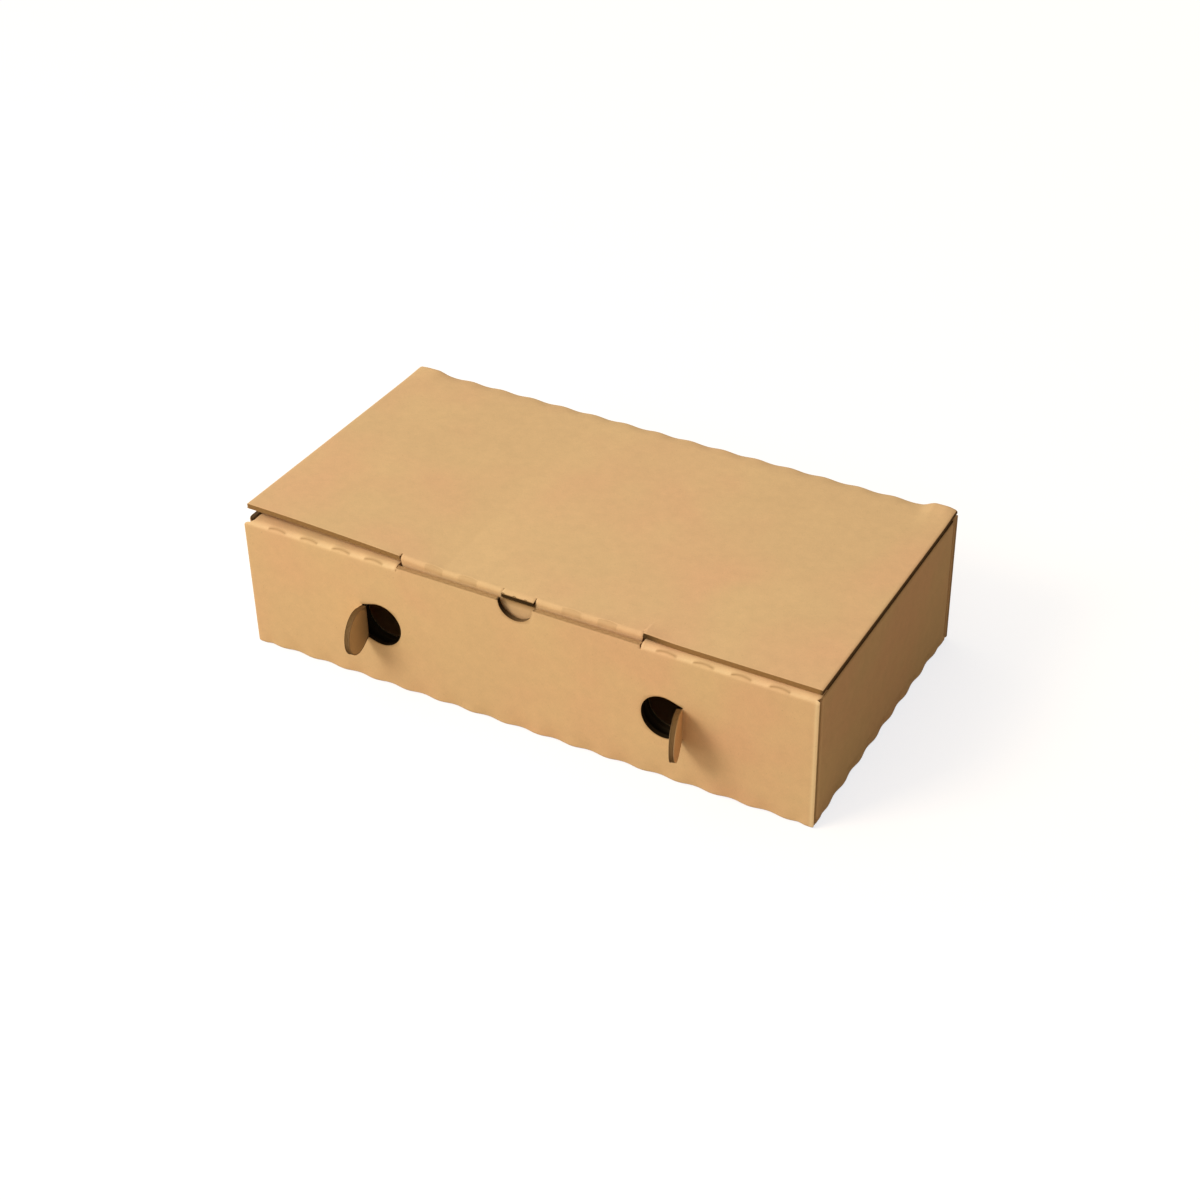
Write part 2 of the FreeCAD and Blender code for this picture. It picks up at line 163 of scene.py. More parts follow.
# Wear, painted shade and painted highlights, as shares of full strength.
RIDGE_SCUFF_AND_HIGHLIGHT, CORNER_HIGHLIGHT = 0.16, 0.38
RIDGE_CUT_WEAR_AND_SHADE, TAB_CUT_SHADE, TAB_FOLD_SHADE, FLAP_RIM_BROWN_SHADE = 0.5, 0.3, 0.07, 0.6
HOLLOW_SHADE, NOTCH_SHADE, NOTCH_LEAN = 0.96, 0.7, 0.24
TONGUE_SHADE, SPRUNG_SHADE, LID_SIDE_SHADE, FLAP_RIM_SHADE = 0.85, 0.75, 0.6, 0.7
DISC_INNER_SHADE, DISC_HINGE_SHADE, DISC_RIM_SHADE = 0.12, 0.45, 0.5

# Cut edges: four rows of points for the wall, four for the ribbon.
RIM_ROWS = 8
SEAM_DEPTH = 0.02 * MM
SHUT_DEPTH = 0.18 * MM
OPEN_CRUSH = 0.08 * MM
RIBBON_INSET = 0.12 * MM
LIP_FADE, DIP_FADE = 1.6 * MM, 0.9 * MM
CUT_END_FADE = 0.8 * MM
RIDGE_SWELL, RIDGE_DIP = 0.4, 0.8
TAB_LIP, TAB_DIP = 0.7, 0.6

# Paper. A band texture of scale 1 has 3.18 bands to the metre.
BUMP_HEIGHT = 0.05 * MM
BANDS_PER_UNIT = 3.18

# Stage.
FLOOR_HALF = 6.0
FLOOR_DROP = 0.1 * MM
FLOOR_LAP = 3.5 * MM
KEY_TOWARDS = (-0.44, -0.63, 0.64)
CAMERA_AT = (0.47605, -0.84218, 0.72746)
CAMERA_AZIMUTH, CAMERA_ELEVATION, CAMERA_ROLL = 0.5152, 0.6271, -0.0214
CAMERA_LENS = 66.81


def length(name, description, default):
    """Property for a size in metres."""
    return FloatProperty(name=name, description=description, default=default, unit="LENGTH")


def tint(name, description, default):
    """Property for a colour."""
    return FloatVectorProperty(
        name=name, description=description, default=default, subtype="COLOR", min=0.0, max=1.0
    )


class BOX_PG_board(bpy.types.PropertyGroup):
    """Sizes of the corrugated board."""

    thickness: length("Thickness", "Board thickness over both liners", 3.0 * MM)
    liner: length("Liner", "Thickness of one liner", 0.3 * MM)
    medium: length("Medium", "Thickness of the fluted sheet", 0.22 * MM)
    flute_pitch: length("Flute pitch", "Length of one flute wave", 6.5 * MM)
    edge_depth: length("Edge depth", "How far an edge cut across the flutes is open", 0.15 * MM)
    edge_crush: length(
        "Edge crush", "How far each liner is pressed in at an edge cut along the flutes", 0.30 * MM
    )


class BOX_PG_crease(bpy.types.PropertyGroup):
    """Cut creases: knife cuts with crushed board between them."""

    pitch: length("Pitch", "One knife cut and one crease", 20.0 * MM)
    cut_length: length("Cut length", "Length of one knife cut", 10.8 * MM)
    wave: length("Wave", "Half the depth of the crushed fold between two cuts", 0.45 * MM)
    lip: length("Lip", "Step between the cut liner's two sides", 0.25 * MM)
    arch: length("Arch", "How far a cut bows from the fold line at its middle", 1.1 * MM)


class BOX_PG_colour(bpy.types.PropertyGroup):
    """Colours of the board and the floor."""

    liner: tint("Liner", "Main colour of the kraft liner", (0.672, 0.422, 0.188))
    warm: tint("Warm patches", "Pinker patches of the liner", (0.706, 0.404, 0.188))
    pale: tint("Pale patches", "Yellower patches of the liner", (0.690, 0.436, 0.193))
    core: tint("Core", "Colour of the fluted sheet and of cut creases", (0.285, 0.145, 0.042))
    floor: tint("Floor", "Colour of the floor", (0.42, 0.345, 0.25))


class BOX_PG_light(bpy.types.PropertyGroup):
    """The lamp and the light from all round."""

    key_power: FloatProperty(
        name="Key power", description="Power of the main lamp", default=17.9, unit="POWER"
    )
    key_size: length("Key size", "Width of the main lamp", 0.74)
    key_distance: length("Key distance", "Distance of the main lamp from the origin", 1.9)
    fill: FloatProperty(
        name="Fill", description="Mean strength of the light from all round", default=0.65
    )
    lean: FloatVectorProperty(
        name="Lean", description="How much stronger that light is along each axis",
        default=(-0.53, -0.35, 0.08),
    )
    dim: tint("Dim side", "Colour of that light where it is weakest", (1.0, 0.74, 0.44))
    floor_glow: tint("Floor glow", "Light added to the floor as the camera sees it", (0.70, 0.732, 0.775))


# Blanks: the flat layout of a sheet, as points and the quads that join them.


def spaced(breaks, steps):
    """Grid lines through every break, evenly spaced between two breaks by at most its step."""
    steps = np.broadcast_to(steps, len(breaks) - 1)
    runs = [
        np.linspace(a, b, int(np.ceil((b - a) / step - 1e-6)) + 1)[:-1]
        for a, b, step in zip(breaks, breaks[1:], steps)
    ]
    return np.concatenate(runs + [[breaks[-1]]])


def mix(a, b, share):
    """From a at share 0 to b at share 1."""
    return a * (1 - share) + b * share


def mirrored(breaks):
    """Breaks at each value and at its negative, in order."""
    return sorted({-b for b in breaks} | set(breaks))


class Blank:
    """Flat layout of one sheet: x across it, s along it, both in metres."""

    def __init__(self, x, s, keep=None):
        self.points = np.zeros((0, 2))
        self.quads = np.zeros((0, 4), int)
        self.add(x, s, keep)

    def add(self, x, s, keep=None):
        """Adds the grid of points x, s. keep says which of its cells hold board."""
        index = np.arange(x.size).reshape(x.shape) + len(self.points)
        cells = np.stack([index[:-1, :-1], index[:-1, 1:], index[1:, 1:], index[1:, :-1]], -1)
        cells = cells.reshape(-1, 4) if keep is None else cells[keep]
        self.points = np.concatenate([self.points, np.stack([x, s], -1).reshape(-1, 2)])
        self.quads = np.concatenate([self.quads, cells])

    def add_ring(self, outer, inner, rings):
        """Adds the band between two loops of as many points, by straight steps from one to the other."""
        band = mix(outer, inner, np.linspace(0, 1, rings + 1)[:, None, None])
        self.add(band[..., 0], band[..., 1])

    def joined(self):
        """Points with coincident ones made one, quads that all turn the same way, open edges and rim."""
        _, first, same = np.unique(
            np.round(self.points / TOUCH).astype(np.int64), axis=0, return_index=True, return_inverse=True
        )
        quads = same.reshape(-1)[self.quads]
        used, quads = np.unique(quads, return_inverse=True)
        points, quads = self.points[first[used]], quads.reshape(-1, 4)
        a, b = points[quads[:, 2]] - points[quads[:, 0]], points[quads[:, 3]] - points[quads[:, 1]]
        backwards = a[:, 0] * b[:, 1] - a[:, 1] * b[:, 0] < 0
        quads[backwards] = quads[backwards, ::-1]
        edges = directed_edges(quads)
        return points, quads, edges, np.unique(edges)


def cell_middles(x_lines, s_lines):
    """Middle of every cell between the lines, as two grids."""
    return np.meshgrid((x_lines[:-1] + x_lines[1:]) / 2, (s_lines[:-1] + s_lines[1:]) / 2)


def between(lines, low, high):
    """The lines from low to high, both included."""
    return lines[(lines > low - TOUCH) & (lines < high + TOUCH)]


def within(value, low, high):
    """True where the value is between low and high."""
    return (value > low) & (value < high)


def square_loop(x, s):
    """Points round the rectangle that the lines x and s span, back to the first."""
    grid = np.stack(np.meshgrid(x, s), -1)
    return np.concatenate([grid[0, :-1], grid[:-1, -1], grid[-1, :0:-1], grid[::-1, 0]])


def unit(vectors):
    """Vectors in the plane, each brought to length 1."""
    return vectors / np.maximum(np.hypot(*vectors.T), 1e-12)[:, None]


def round_loop(outer, centre, radius):
    """Circle point for every point of outer, in the same direction from the centre."""
    return centre + radius * unit(outer - centre)


def tangent_angle(radius, reach, half):
    """Angle on a circle where the tangent starts that ends reach out and half up from its middle."""
    return math.atan2(half, reach) + math.acos(radius / math.hypot(reach, half))


def vent_loop(outer, centre, side):
    """Vent outline for every point of outer: a circle whose tangents run on to the hinge ends."""
    tangent = tangent_angle(VENT_RADIUS, VENT_CHORD, VENT_HINGE_HALF)
    away = unit(outer - centre)
    out, up = away[:, 0] * side, abs(away[:, 1])
    past = np.arctan2(up, out) < tangent
    line = VENT_RADIUS / np.maximum(out * math.cos(tangent) + up * math.sin(tangent), 1e-6)
    reach = np.where(past, np.minimum(line, VENT_CHORD / np.maximum(out, 1e-6)), VENT_RADIUS)
    loop = centre + away * reach[:, None]
    for end in (-1, 1):
        corner = centre + np.array([side * VENT_CHORD, end * VENT_HINGE_HALF])
        gap = np.hypot(*(loop - corner).T)
        loop[gap < gap.min() + 1e-9] = corner
    return loop


# Folding: from the flat blank to the shape in the box.


def folded(s, h, corners, radii):
    """Section of a folded sheet at length s along its outer face and depth h into it.

    The outer face runs straight from corner to corner, turning right. Near a corner the
    point goes round an arc whose radius is the fold's radius less the depth. Where a fold is
    tighter than the board is thick, its inner side is crushed against the arc's middle.
    """
    s, h = np.broadcast_arrays(np.asarray(s, float), np.asarray(h, float))
    corners = np.asarray(corners, float)
    runs = np.diff(corners, axis=0)
    lengths = np.hypot(*runs.T)
    way = runs / lengths[:, None]
    right = np.stack([way[:, 1], -way[:, 0]], -1)
    stops = np.concatenate([[0.0], np.cumsum(lengths)])
    k = np.clip(np.searchsorted(stops, s, side="right") - 1, 0, len(runs) - 1)
    point = corners[k] + way[k] * (s - stops[k])[:, None] + right[k] * h[:, None]
    for j, radius in enumerate(radii, 1):
        turn = math.acos(np.clip(way[j - 1] @ way[j], -1, 1))
        reach = radius * math.tan(turn / 2)
        near = abs(s - stops[j]) < reach
        angle = ((s[near] - stops[j] + reach) / (2 * reach) * turn)[:, None]
        centre = corners[j] - way[j - 1] * reach + right[j - 1] * radius
        arm = np.maximum(radius - h[near], 0.1 * MM)[:, None]
        point[near] = centre + arm * (way[j - 1] * np.sin(angle) - right[j - 1] * np.cos(angle))
    return point


def smooth(value):
    """Smooth step from 0 to 1 as value goes from 0 to 1."""
    value = np.clip(value, 0, 1)
    return value * value * (3 - 2 * value)


def bell(off, width):
    """1 where off is 0, falling away over about width to either side."""
    return np.exp(-((off / width) ** 2))


def off_cut(across, first, crease):
    """Distance from the middle of the nearest knife cut; cuts repeat from first both ways."""
    return abs((across - first + crease.pitch / 2) % crease.pitch - crease.pitch / 2)


def cut_window(across, first, crease):
    """1 inside a knife cut and 0 on a crease, with soft ends."""
    return smooth((crease.cut_length / 2 - off_cut(across, first, crease)) / CUT_END_FADE + 0.5)


def cut_arch(across, first, crease):
    """How far a bowed cut lies off the line through its ends."""
    share = np.minimum(off_cut(across, first, crease) / (crease.cut_length / 2), 1)
    return crease.arch * (1 - share**2)


def lip_step(past, dip):
    """Step at a knife cut: up to 1 just past it, down to -dip just before, fading both ways."""
    return np.where(past > 0, np.exp(-past / LIP_FADE), -dip * np.exp(past / DIP_FADE))


def fold_crush(across, first, along, crease):
    """Relief of a base fold, at most 0: none at the knife cuts, deepest between them, and fading
    out up the wall (along > 0) and under the base."""
    crown = np.clip(1 - (np.maximum(along / CRUSH_UP, -along / CRUSH_UNDER)) ** 2, 0, 1) ** 1.5
    return crown * crease.wave * (np.cos(2 * np.pi * (across - first) / crease.pitch) - 1)


def fold_ends(across, half, clear):
    """1 along a fold of the given half length, and 0 within clear of its ends."""
    return smooth((half - clear - abs(across)) / CRUSH_FADE)


# Board: two liners, open cut edges and the fluted sheet between.


def directed_edges(quads):
    """Edges that belong to one quad only, in the direction that the quad goes round."""
    a, b = quads.ravel(), np.roll(quads, -1, axis=1).ravel()
    size = quads.max() + 1
    open_edge = ~np.isin(a * size + b, b * size + a)
    return np.stack([a[open_edge], b[open_edge]], -1)


def edge_strips(edges, rim, levels):
    """Quads along every rim edge, from each level of rim vertices to the next."""
    place = np.searchsorted(rim, edges)
    strips = []
    for low, high in zip(levels, levels[1:]):
        near, far = low[place], high[place]
        strips.append(np.stack([near[:, 1], near[:, 0], far[:, 0], far[:, 1]], -1))
    return strips


def shared(rim, edges, values):
    """Mean over each rim point's two edges of what is given for every edge."""
    total = np.zeros((len(rim), *values.shape[1:]))
    for end in (0, 1):
        np.add.at(total, np.searchsorted(rim, edges[:, end]), values)
    return total / 2


def inward(points, edges, rim):
    """Unit direction into the sheet at each rim point: the mean of its two edges' left sides."""
    step = points[edges[:, 1]] - points[edges[:, 0]]
    return unit(shared(rim, edges, unit(np.stack([-step[:, 1], step[:, 0]], -1))))


def outwards(vertices, quads):
    """The quads, turned over if the closed surface has its inside out."""
    a, b, c, d = (vertices[quads[:, k]] for k in range(4))
    volume = np.einsum("ij,ij->", a, np.cross(b, c)) + np.einsum("ij,ij->", a, np.cross(c, d))
    return quads if volume > 0 else quads[:, ::-1]


def new_object(name, data):
    """Object with the given data, linked to the scene."""
    made = bpy.data.objects.new(name, data)
    bpy.context.scene.collection.objects.link(made)
    return made


def mesh_object(name, vertices, quads, flat_from, material_of, materials, layout, marks, seam=None):
    """Object with the given quads, UV map from the blank, and its marks of wear, painted shade and painted
    highlights as attributes.

    Edges between two points of the seam are sharp, so that its shading goes on in the next piece.
    """
    mesh = bpy.data.meshes.new(name)
    mesh.from_pydata(vertices.tolist(), [], quads.tolist())
    mesh.polygons.foreach_set("use_smooth", np.arange(len(quads)) < flat_from)
    mesh.polygons.foreach_set("material_index", material_of.astype(np.int32))
    loops = np.zeros(len(mesh.loops), np.int32)
    mesh.loops.foreach_get("vertex_index", loops)
    mesh.uv_layers.new(name="blank").data.foreach_set("uv", layout[loops].astype(np.float32).ravel())
    for key, values in marks.items():
        mesh.attributes.new(key, "FLOAT", "POINT").data.foreach_set("value", values.astype(np.float32))
    if seam is not None:
        ends = np.zeros(2 * len(mesh.edges), np.int32)
        mesh.edges.foreach_get("vertices", ends)
        sharp = mesh.attributes.new("sharp_edge", "BOOLEAN", "EDGE")
        sharp.data.foreach_set("value", seam[ends.reshape(-1, 2)].all(axis=1))
    for material in materials:
        mesh.materials.append(material)
    mesh.update()
    return new_object(name, mesh)


def wear_and_painted_light(marks, count, rim, knifed, open_rim):
    """Wear, painted shade and painted highlights at every vertex of a sheet: both faces, then the rows of
    points along its rim.
    """
    filled = {}
    for key in ("cut", "scuff", "shade"):
        face = marks.get(key, np.zeros(count)).copy()
        far = marks.get(key + "_inside", np.zeros(count)).copy()
        if key == "cut":
            frayed = knifed * (0.2 + 0.6 * open_rim)
            face[rim], far[rim] = np.maximum(face[rim], frayed), np.maximum(far[rim], frayed)
        side = {"cut": knifed, "scuff": np.zeros(len(rim)), "shade": far[rim]}[key]
        filled[key] = np.concatenate([face, far] + [side] * RIM_ROWS)
    return filled


def corrugated(name, blank, place, board, across=0, relief=None, marks=None, seams=None, browned=1.0):
    """Corrugated sheet: both liners, and every edge as the knife leaves it.

    place(x, s, h) gives the point at depth h under the outer face. The outer liner is raised
    by relief(x, s). An edge cut across the flutes is open: its wall goes in under one liner,
    across and out under the other, and a ribbon follows the wave sin(2 pi q / pitch) there,
    where q is the blank's coordinate across the flutes. An edge cut along them is pressed
    nearly shut. seams(x, s) tells where the sheet goes on in the next piece, so stays whole.
    browned is how far the cut edges take the core's colour.
    """
    points, quads, edges, rim = blank.joined()
    x, s = points.T
    count = len(points)
    thickness, liner = board.thickness, board.liner
    raised = relief(x, s) if relief else np.zeros(count)
    step = points[edges[:, 1]] - points[edges[:, 0]]
    opened = abs(step[:, across]) / np.hypot(*step.T)
    middle = (points[edges[:, 0]] + points[edges[:, 1]]) / 2
    whole = seams(*middle.T).astype(float) if seams else np.zeros(len(edges))
    open_rim, whole_rim = shared(rim, edges, opened), shared(rim, edges, whole)
    depth = SHUT_DEPTH + (board.edge_depth - SHUT_DEPTH) * open_rim**2
    depth = SEAM_DEPTH + (1 - whole_rim) * depth
    crush = (1 - whole_rim) * (board.edge_crush + (OPEN_CRUSH - board.edge_crush) * open_rim)
    into = inward(points, edges, rim)
    mouth = points[rim]
    back = mouth + into * depth[:, None]
    lip = mouth + into * np.minimum(RIBBON_INSET, depth / 2)[:, None]
    swing = (thickness - 2 * liner - board.medium) / 2
    wave = thickness / 2 + swing * np.sin(2 * np.pi * mouth[:, across] / board.flute_pitch)
    half = board.medium / 2
    under = liner + crush + np.maximum(-raised[rim], 0)
    over = thickness - liner - crush
    wall = [(mouth, under), (back, under), (back, over), (mouth, over)]
    ribbon = [(lip, wave - half), (lip, wave + half), (back, wave + half), (back, wave - half)]
    outer, inner = -raised, np.full(count, thickness)
    outer[rim] += crush
    inner[rim] -= crush
    flats, sinks = zip(*wall, *ribbon)
    layout = np.concatenate([points, points, *flats])
    depths = np.concatenate([outer, inner, *sinks])
    vertices = place(*layout.T, depths)
    level = [2 * count + k * len(rim) + np.arange(len(rim)) for k in range(RIM_ROWS)]
    skin = edge_strips(edges, rim, [rim] + level[:4] + [rim + count])
    core = np.concatenate(edge_strips(edges, rim, level[4:] + level[4:5]))
    closed = np.concatenate([quads, quads[:, ::-1] + count] + skin)
    turned = outwards(vertices, closed)
    every = np.concatenate([turned, core if turned is not closed else core[:, ::-1]])
    material_of = [np.zeros(len(quads)), np.ones(len(quads))]
    material_of += [np.zeros(len(edges))] * 4 + [np.ones(len(edges)), np.full(len(core), 2)]
    knifed = browned * (1 - whole_rim) * (0.8 + 0.2 * open_rim)
    wear_and_light = wear_and_painted_light(marks(x, s) if marks else {}, count, rim, knifed, open_rim)
    seam = np.zeros(len(vertices), bool)
    seam[rim] = seam[rim + count] = whole_rim > 0.9
    return mesh_object(
        name, vertices, every, 2 * len(quads), np.concatenate(material_of),
        [finish(kind) for kind in ("liner_outside", "liner_inside", "fluting")], layout, wear_and_light, seam,
    )


def strip(name, blank, place, thickness, material):
    """Thin closed strip of one liner, from its flat layout."""
    points, quads, edges, rim = blank.joined()
    count = len(points)
    layout = np.concatenate([points, points])
    depths = np.repeat([0.0, thickness], count)
    vertices = place(*layout.T, depths)
    sides = edge_strips(edges, rim, [rim, rim + count])
    closed = outwards(vertices, np.concatenate([quads, quads[:, ::-1] + count] + sides))
    marks = {key: np.zeros(2 * count) for key in ("cut", "scuff", "shade")}
    kinds = np.zeros(len(closed))
    return mesh_object(name, vertices, closed, 2 * len(quads), kinds, [finish(material)], layout, marks)


# Materials.


def feed(socket, value):
    """Gives an input socket a number, a colour or the output of another node."""
    if isinstance(value, bpy.types.NodeSocket):
        socket.id_data.links.new(value, socket)
    elif socket.type == "RGBA":
        socket.default_value = (*value, 1.0)
    else:
        socket.default_value = value


def node(tree, kind, **values):
    """New node; a value's name is an input socket's or a property of the node."""
    made = tree.nodes.new(kind)
    for key, value in values.items():
        name = key.replace("_", " ")
        if name in made.inputs:
            feed(made.inputs[name], value)
        else:
            setattr(made, key, value)
    return made


def noise(tree, vector, scale, detail=3.0, roughness=0.55):
    """Fractal noise at the given points, from 0 to 1."""
    made = node(tree, "ShaderNodeTexNoise", Scale=scale, Detail=detail, Roughness=roughness)
    feed(made.inputs["Vector"], vector)
    return made.outputs["Fac"]


def ranged(tree, value, low, high, to_low=0.0, to_high=1.0):
    """The value, with low to high stretched onto to_low to to_high and held there."""
    made = node(tree, "ShaderNodeMapRange", clamp=True, Value=value, From_Min=low, From_Max=high)
    feed(made.inputs["To Min"], to_low)
    feed(made.inputs["To Max"], to_high)
    return made.outputs["Result"]


def mixed(tree, share, a, b, blend="MIX"):
    """Colour mix of a and b, each a colour or a socket, by a share that is a number or a socket."""
    made = node(tree, "ShaderNodeMix", data_type="RGBA", blend_type=blend)
    for index, value in ((0, share), (6, a), (7, b)):
        feed(made.inputs[index], value)
    return made.outputs[2]


def arithmetic(tree, operation, a, b):
    """Result of a Math node on a and b, each a number or a socket."""
    made = node(tree, "ShaderNodeMath", operation=operation)
    feed(made.inputs[0], a)
    feed(made.inputs[1], b)
    return made.outputs[0]


def grey(tree, value):
    """Colour with the value in all three channels."""
    return node(tree, "ShaderNodeCombineColor", Red=value, Green=value, Blue=value).outputs["Color"]


def stretched(tree, vector, scale):
    """The points, scaled along each axis."""
    return node(tree, "ShaderNodeMapping", Vector=vector, Scale=scale).outputs["Vector"]


def painted(tree, name):
    """Value of a named attribute of the mesh."""
    return node(tree, "ShaderNodeAttribute", attribute_name=name).outputs["Fac"]


def new_material(name, build):
    """Material whose shader inputs have the values that build(tree) gives by name."""
    material = bpy.data.materials.new(name)
    material.use_nodes = True
    tree = material.node_tree
    for key, value in build(tree).items():
        feed(tree.nodes["Principled BSDF"].inputs[key], value)
    return material


def kraft(tree, base, warm, pale, core, washboard):
    """Kraft paper: broad warm and pale patches, short fibres along the blank, dark flecks,
    darker cut creases and edges with painted shade in the same brown, paler scuffed folds with
    painted highlights, painted shade towards black, and the flutes showing faintly through."""
    place = node(tree, "ShaderNodeTexCoord").outputs["Object"]
    flat = node(tree, "ShaderNodeUVMap", uv_map="blank").outputs["UV"]
    broad = ranged(tree, noise(tree, place, 11.0, 2.0), 0.42, 0.64)
    colour = mixed(tree, broad, base, warm)
    patches = ranged(tree, noise(tree, stretched(tree, place, (1.0, 1.0, 1.3)), 17.0, 2.0), 0.45, 0.68)
    colour = mixed(tree, patches, colour, pale)
    cloudy = ranged(tree, noise(tree, place, 160.0, 4.0, 0.7), 0.3, 0.7, 0.955, 1.03)
    fibres = noise(tree, stretched(tree, flat, (1.0, 0.28, 1.0)), 2600.0, 3.0, 0.6)
    grain = ranged(tree, fibres, 0.25, 0.75, 0.94, 1.05)
    texture = grey(tree, arithmetic(tree, "MULTIPLY", cloudy, grain))
    colour = mixed(tree, 1.0, colour, texture, "MULTIPLY")
    flecks = ranged(tree, noise(tree, place, 900.0, 1.0), 0.72, 0.80, 0.0, 0.22)
    colour = mixed(tree, flecks, colour, core)
    # Next three marks: brown towards the core for cut edges, creases and painted shade; paler for scuffs and
    # painted highlights; near black for painted shade.
    colour = mixed(tree, painted(tree, "cut"), colour, core)
    colour = mixed(tree, painted(tree, "scuff"), colour, pale, "SCREEN")
    shade = painted(tree, "shade")
    colour = mixed(tree, shade, colour, (0.004, 0.003, 0.002))
    waves = node(
        tree, "ShaderNodeTexWave", wave_type="BANDS", bands_direction="X", wave_profile="SIN",
        Scale=washboard, Vector=flat,
    )
    height = arithmetic(tree, "ADD", arithmetic(tree, "MULTIPLY", waves.outputs["Fac"], 0.5), fibres)
    bump = node(tree, "ShaderNodeBump", Strength=0.35, Distance=BUMP_HEIGHT, Height=height)
    return {
        "Base Color": colour,
        "Specular IOR Level": ranged(tree, shade, 0.0, 0.9, 0.25, 0.0),
        "Roughness": ranged(tree, fibres, 0.2, 0.8, 0.68, 0.86),
        "Normal": bump.outputs["Normal"],
    }


def finish(kind):
    """The named board finish, made once."""
    if kind in bpy.data.materials:
        return bpy.data.materials[kind]
    scene = bpy.context.scene
    colour, pitch = scene.box_colour, scene.box_board.flute_pitch
    liner, warm, pale, core = (tuple(c) for c in (colour.liner, colour.warm, colour.pale, colour.core))
    share = {"liner_outside": 1.0, "liner_inside": 0.86, "fluting": 0.78}[kind]
    dull = [tuple(share * c for c in paper) for paper in (liner, warm, pale)]
    return new_material(kind, lambda tree: kraft(tree, *dull, core, 1.0 / pitch / BANDS_PER_UNIT))


def floor_finish(tree, colour, glow):
    """Pale matt floor, a little brighter to the camera so that its far part is white, clear from below."""
    below = node(tree, "ShaderNodeNewGeometry").outputs["Backfacing"]
    return {
        "Base Color": colour,
        "Roughness": 0.9,
        "Specular IOR Level": 0.0,
        "Emission Color": glow,
        "Emission Strength": node(tree, "ShaderNodeLightPath").outputs["Is Camera Ray"],
        "Alpha": arithmetic(tree, "SUBTRACT", 1.0, below),
    }


# Panels.


def stands_at(value, *targets):
    """True where the value is at one of the targets."""
    return np.any([abs(value - target) < 0.05 * MM for target in targets], axis=0)


def path_stops(corners):
    """Length along a path at each of its corners."""
    lengths = [math.dist(a, b) for a, b in zip(corners, corners[1:])]
    return np.concatenate([[0.0], np.cumsum(lengths)])


def keep_piece(piece, body, *nodes):
    """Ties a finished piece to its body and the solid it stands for."""
    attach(piece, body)
    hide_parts(*nodes)


def front_path():
    """Outer face of the front wall in (y, z), from the base over the ridge and down inside."""
    corners = [
        (-FACE + SEAM_INSET, 0.0),
        (-FACE, 0.0),
        (-FACE, WALL_TOP),
        (-FACE + RIDGE_DEPTH, WALL_TOP),
        (-FACE + RIDGE_DEPTH, INNER_FOOT),
    ]
    return corners, path_stops(corners)


def foot_inset(s, fold):
    """How far a wall's end draws in at length s, to follow the round side folds below it."""
    turn = np.clip((s - fold + BASE_RADIUS) / (2 * BASE_RADIUS), 0, 1) * np.pi / 2
    return BASE_RADIUS * (1 - np.sin(turn))


def front_half_width(x, s, stops):
    """Half width of the front wall at length s: round corners, ridge ends, narrower inside."""
    corner = np.where(x < 0, FRONT_CORNER_LEFT, FRONT_CORNER_RIGHT)
    below = np.clip(s - stops[2] + corner, 0, corner)
    rounded = HALF_LENGTH - corner + np.sqrt(corner**2 - below**2)
    ridge = np.where(x < 0, RIDGE_LEFT, RIDGE_RIGHT)
    spread = np.interp(s, [stops[2], stops[2] + 2.5 * MM], [0, 1])
    taper = np.interp(s, [stops[3], stops[3] + FOLD_RADIUS], [0, 1])
    rolled = (HALF_LENGTH - corner) * (1 - spread) + ridge * (spread - taper) + INNER_PANEL_HALF * taper
    return np.where(s <= stops[2], rounded - foot_inset(s, stops[1]), rolled)


def squeezed(x, half, fixed, full):
    """x with its outer band, from fixed to full, scaled to end at half instead."""
    over = np.maximum(abs(x) - fixed, 0) / (full - fixed)
    return np.sign(x) * np.where(over > 0, fixed + over * (half - fixed), abs(x))


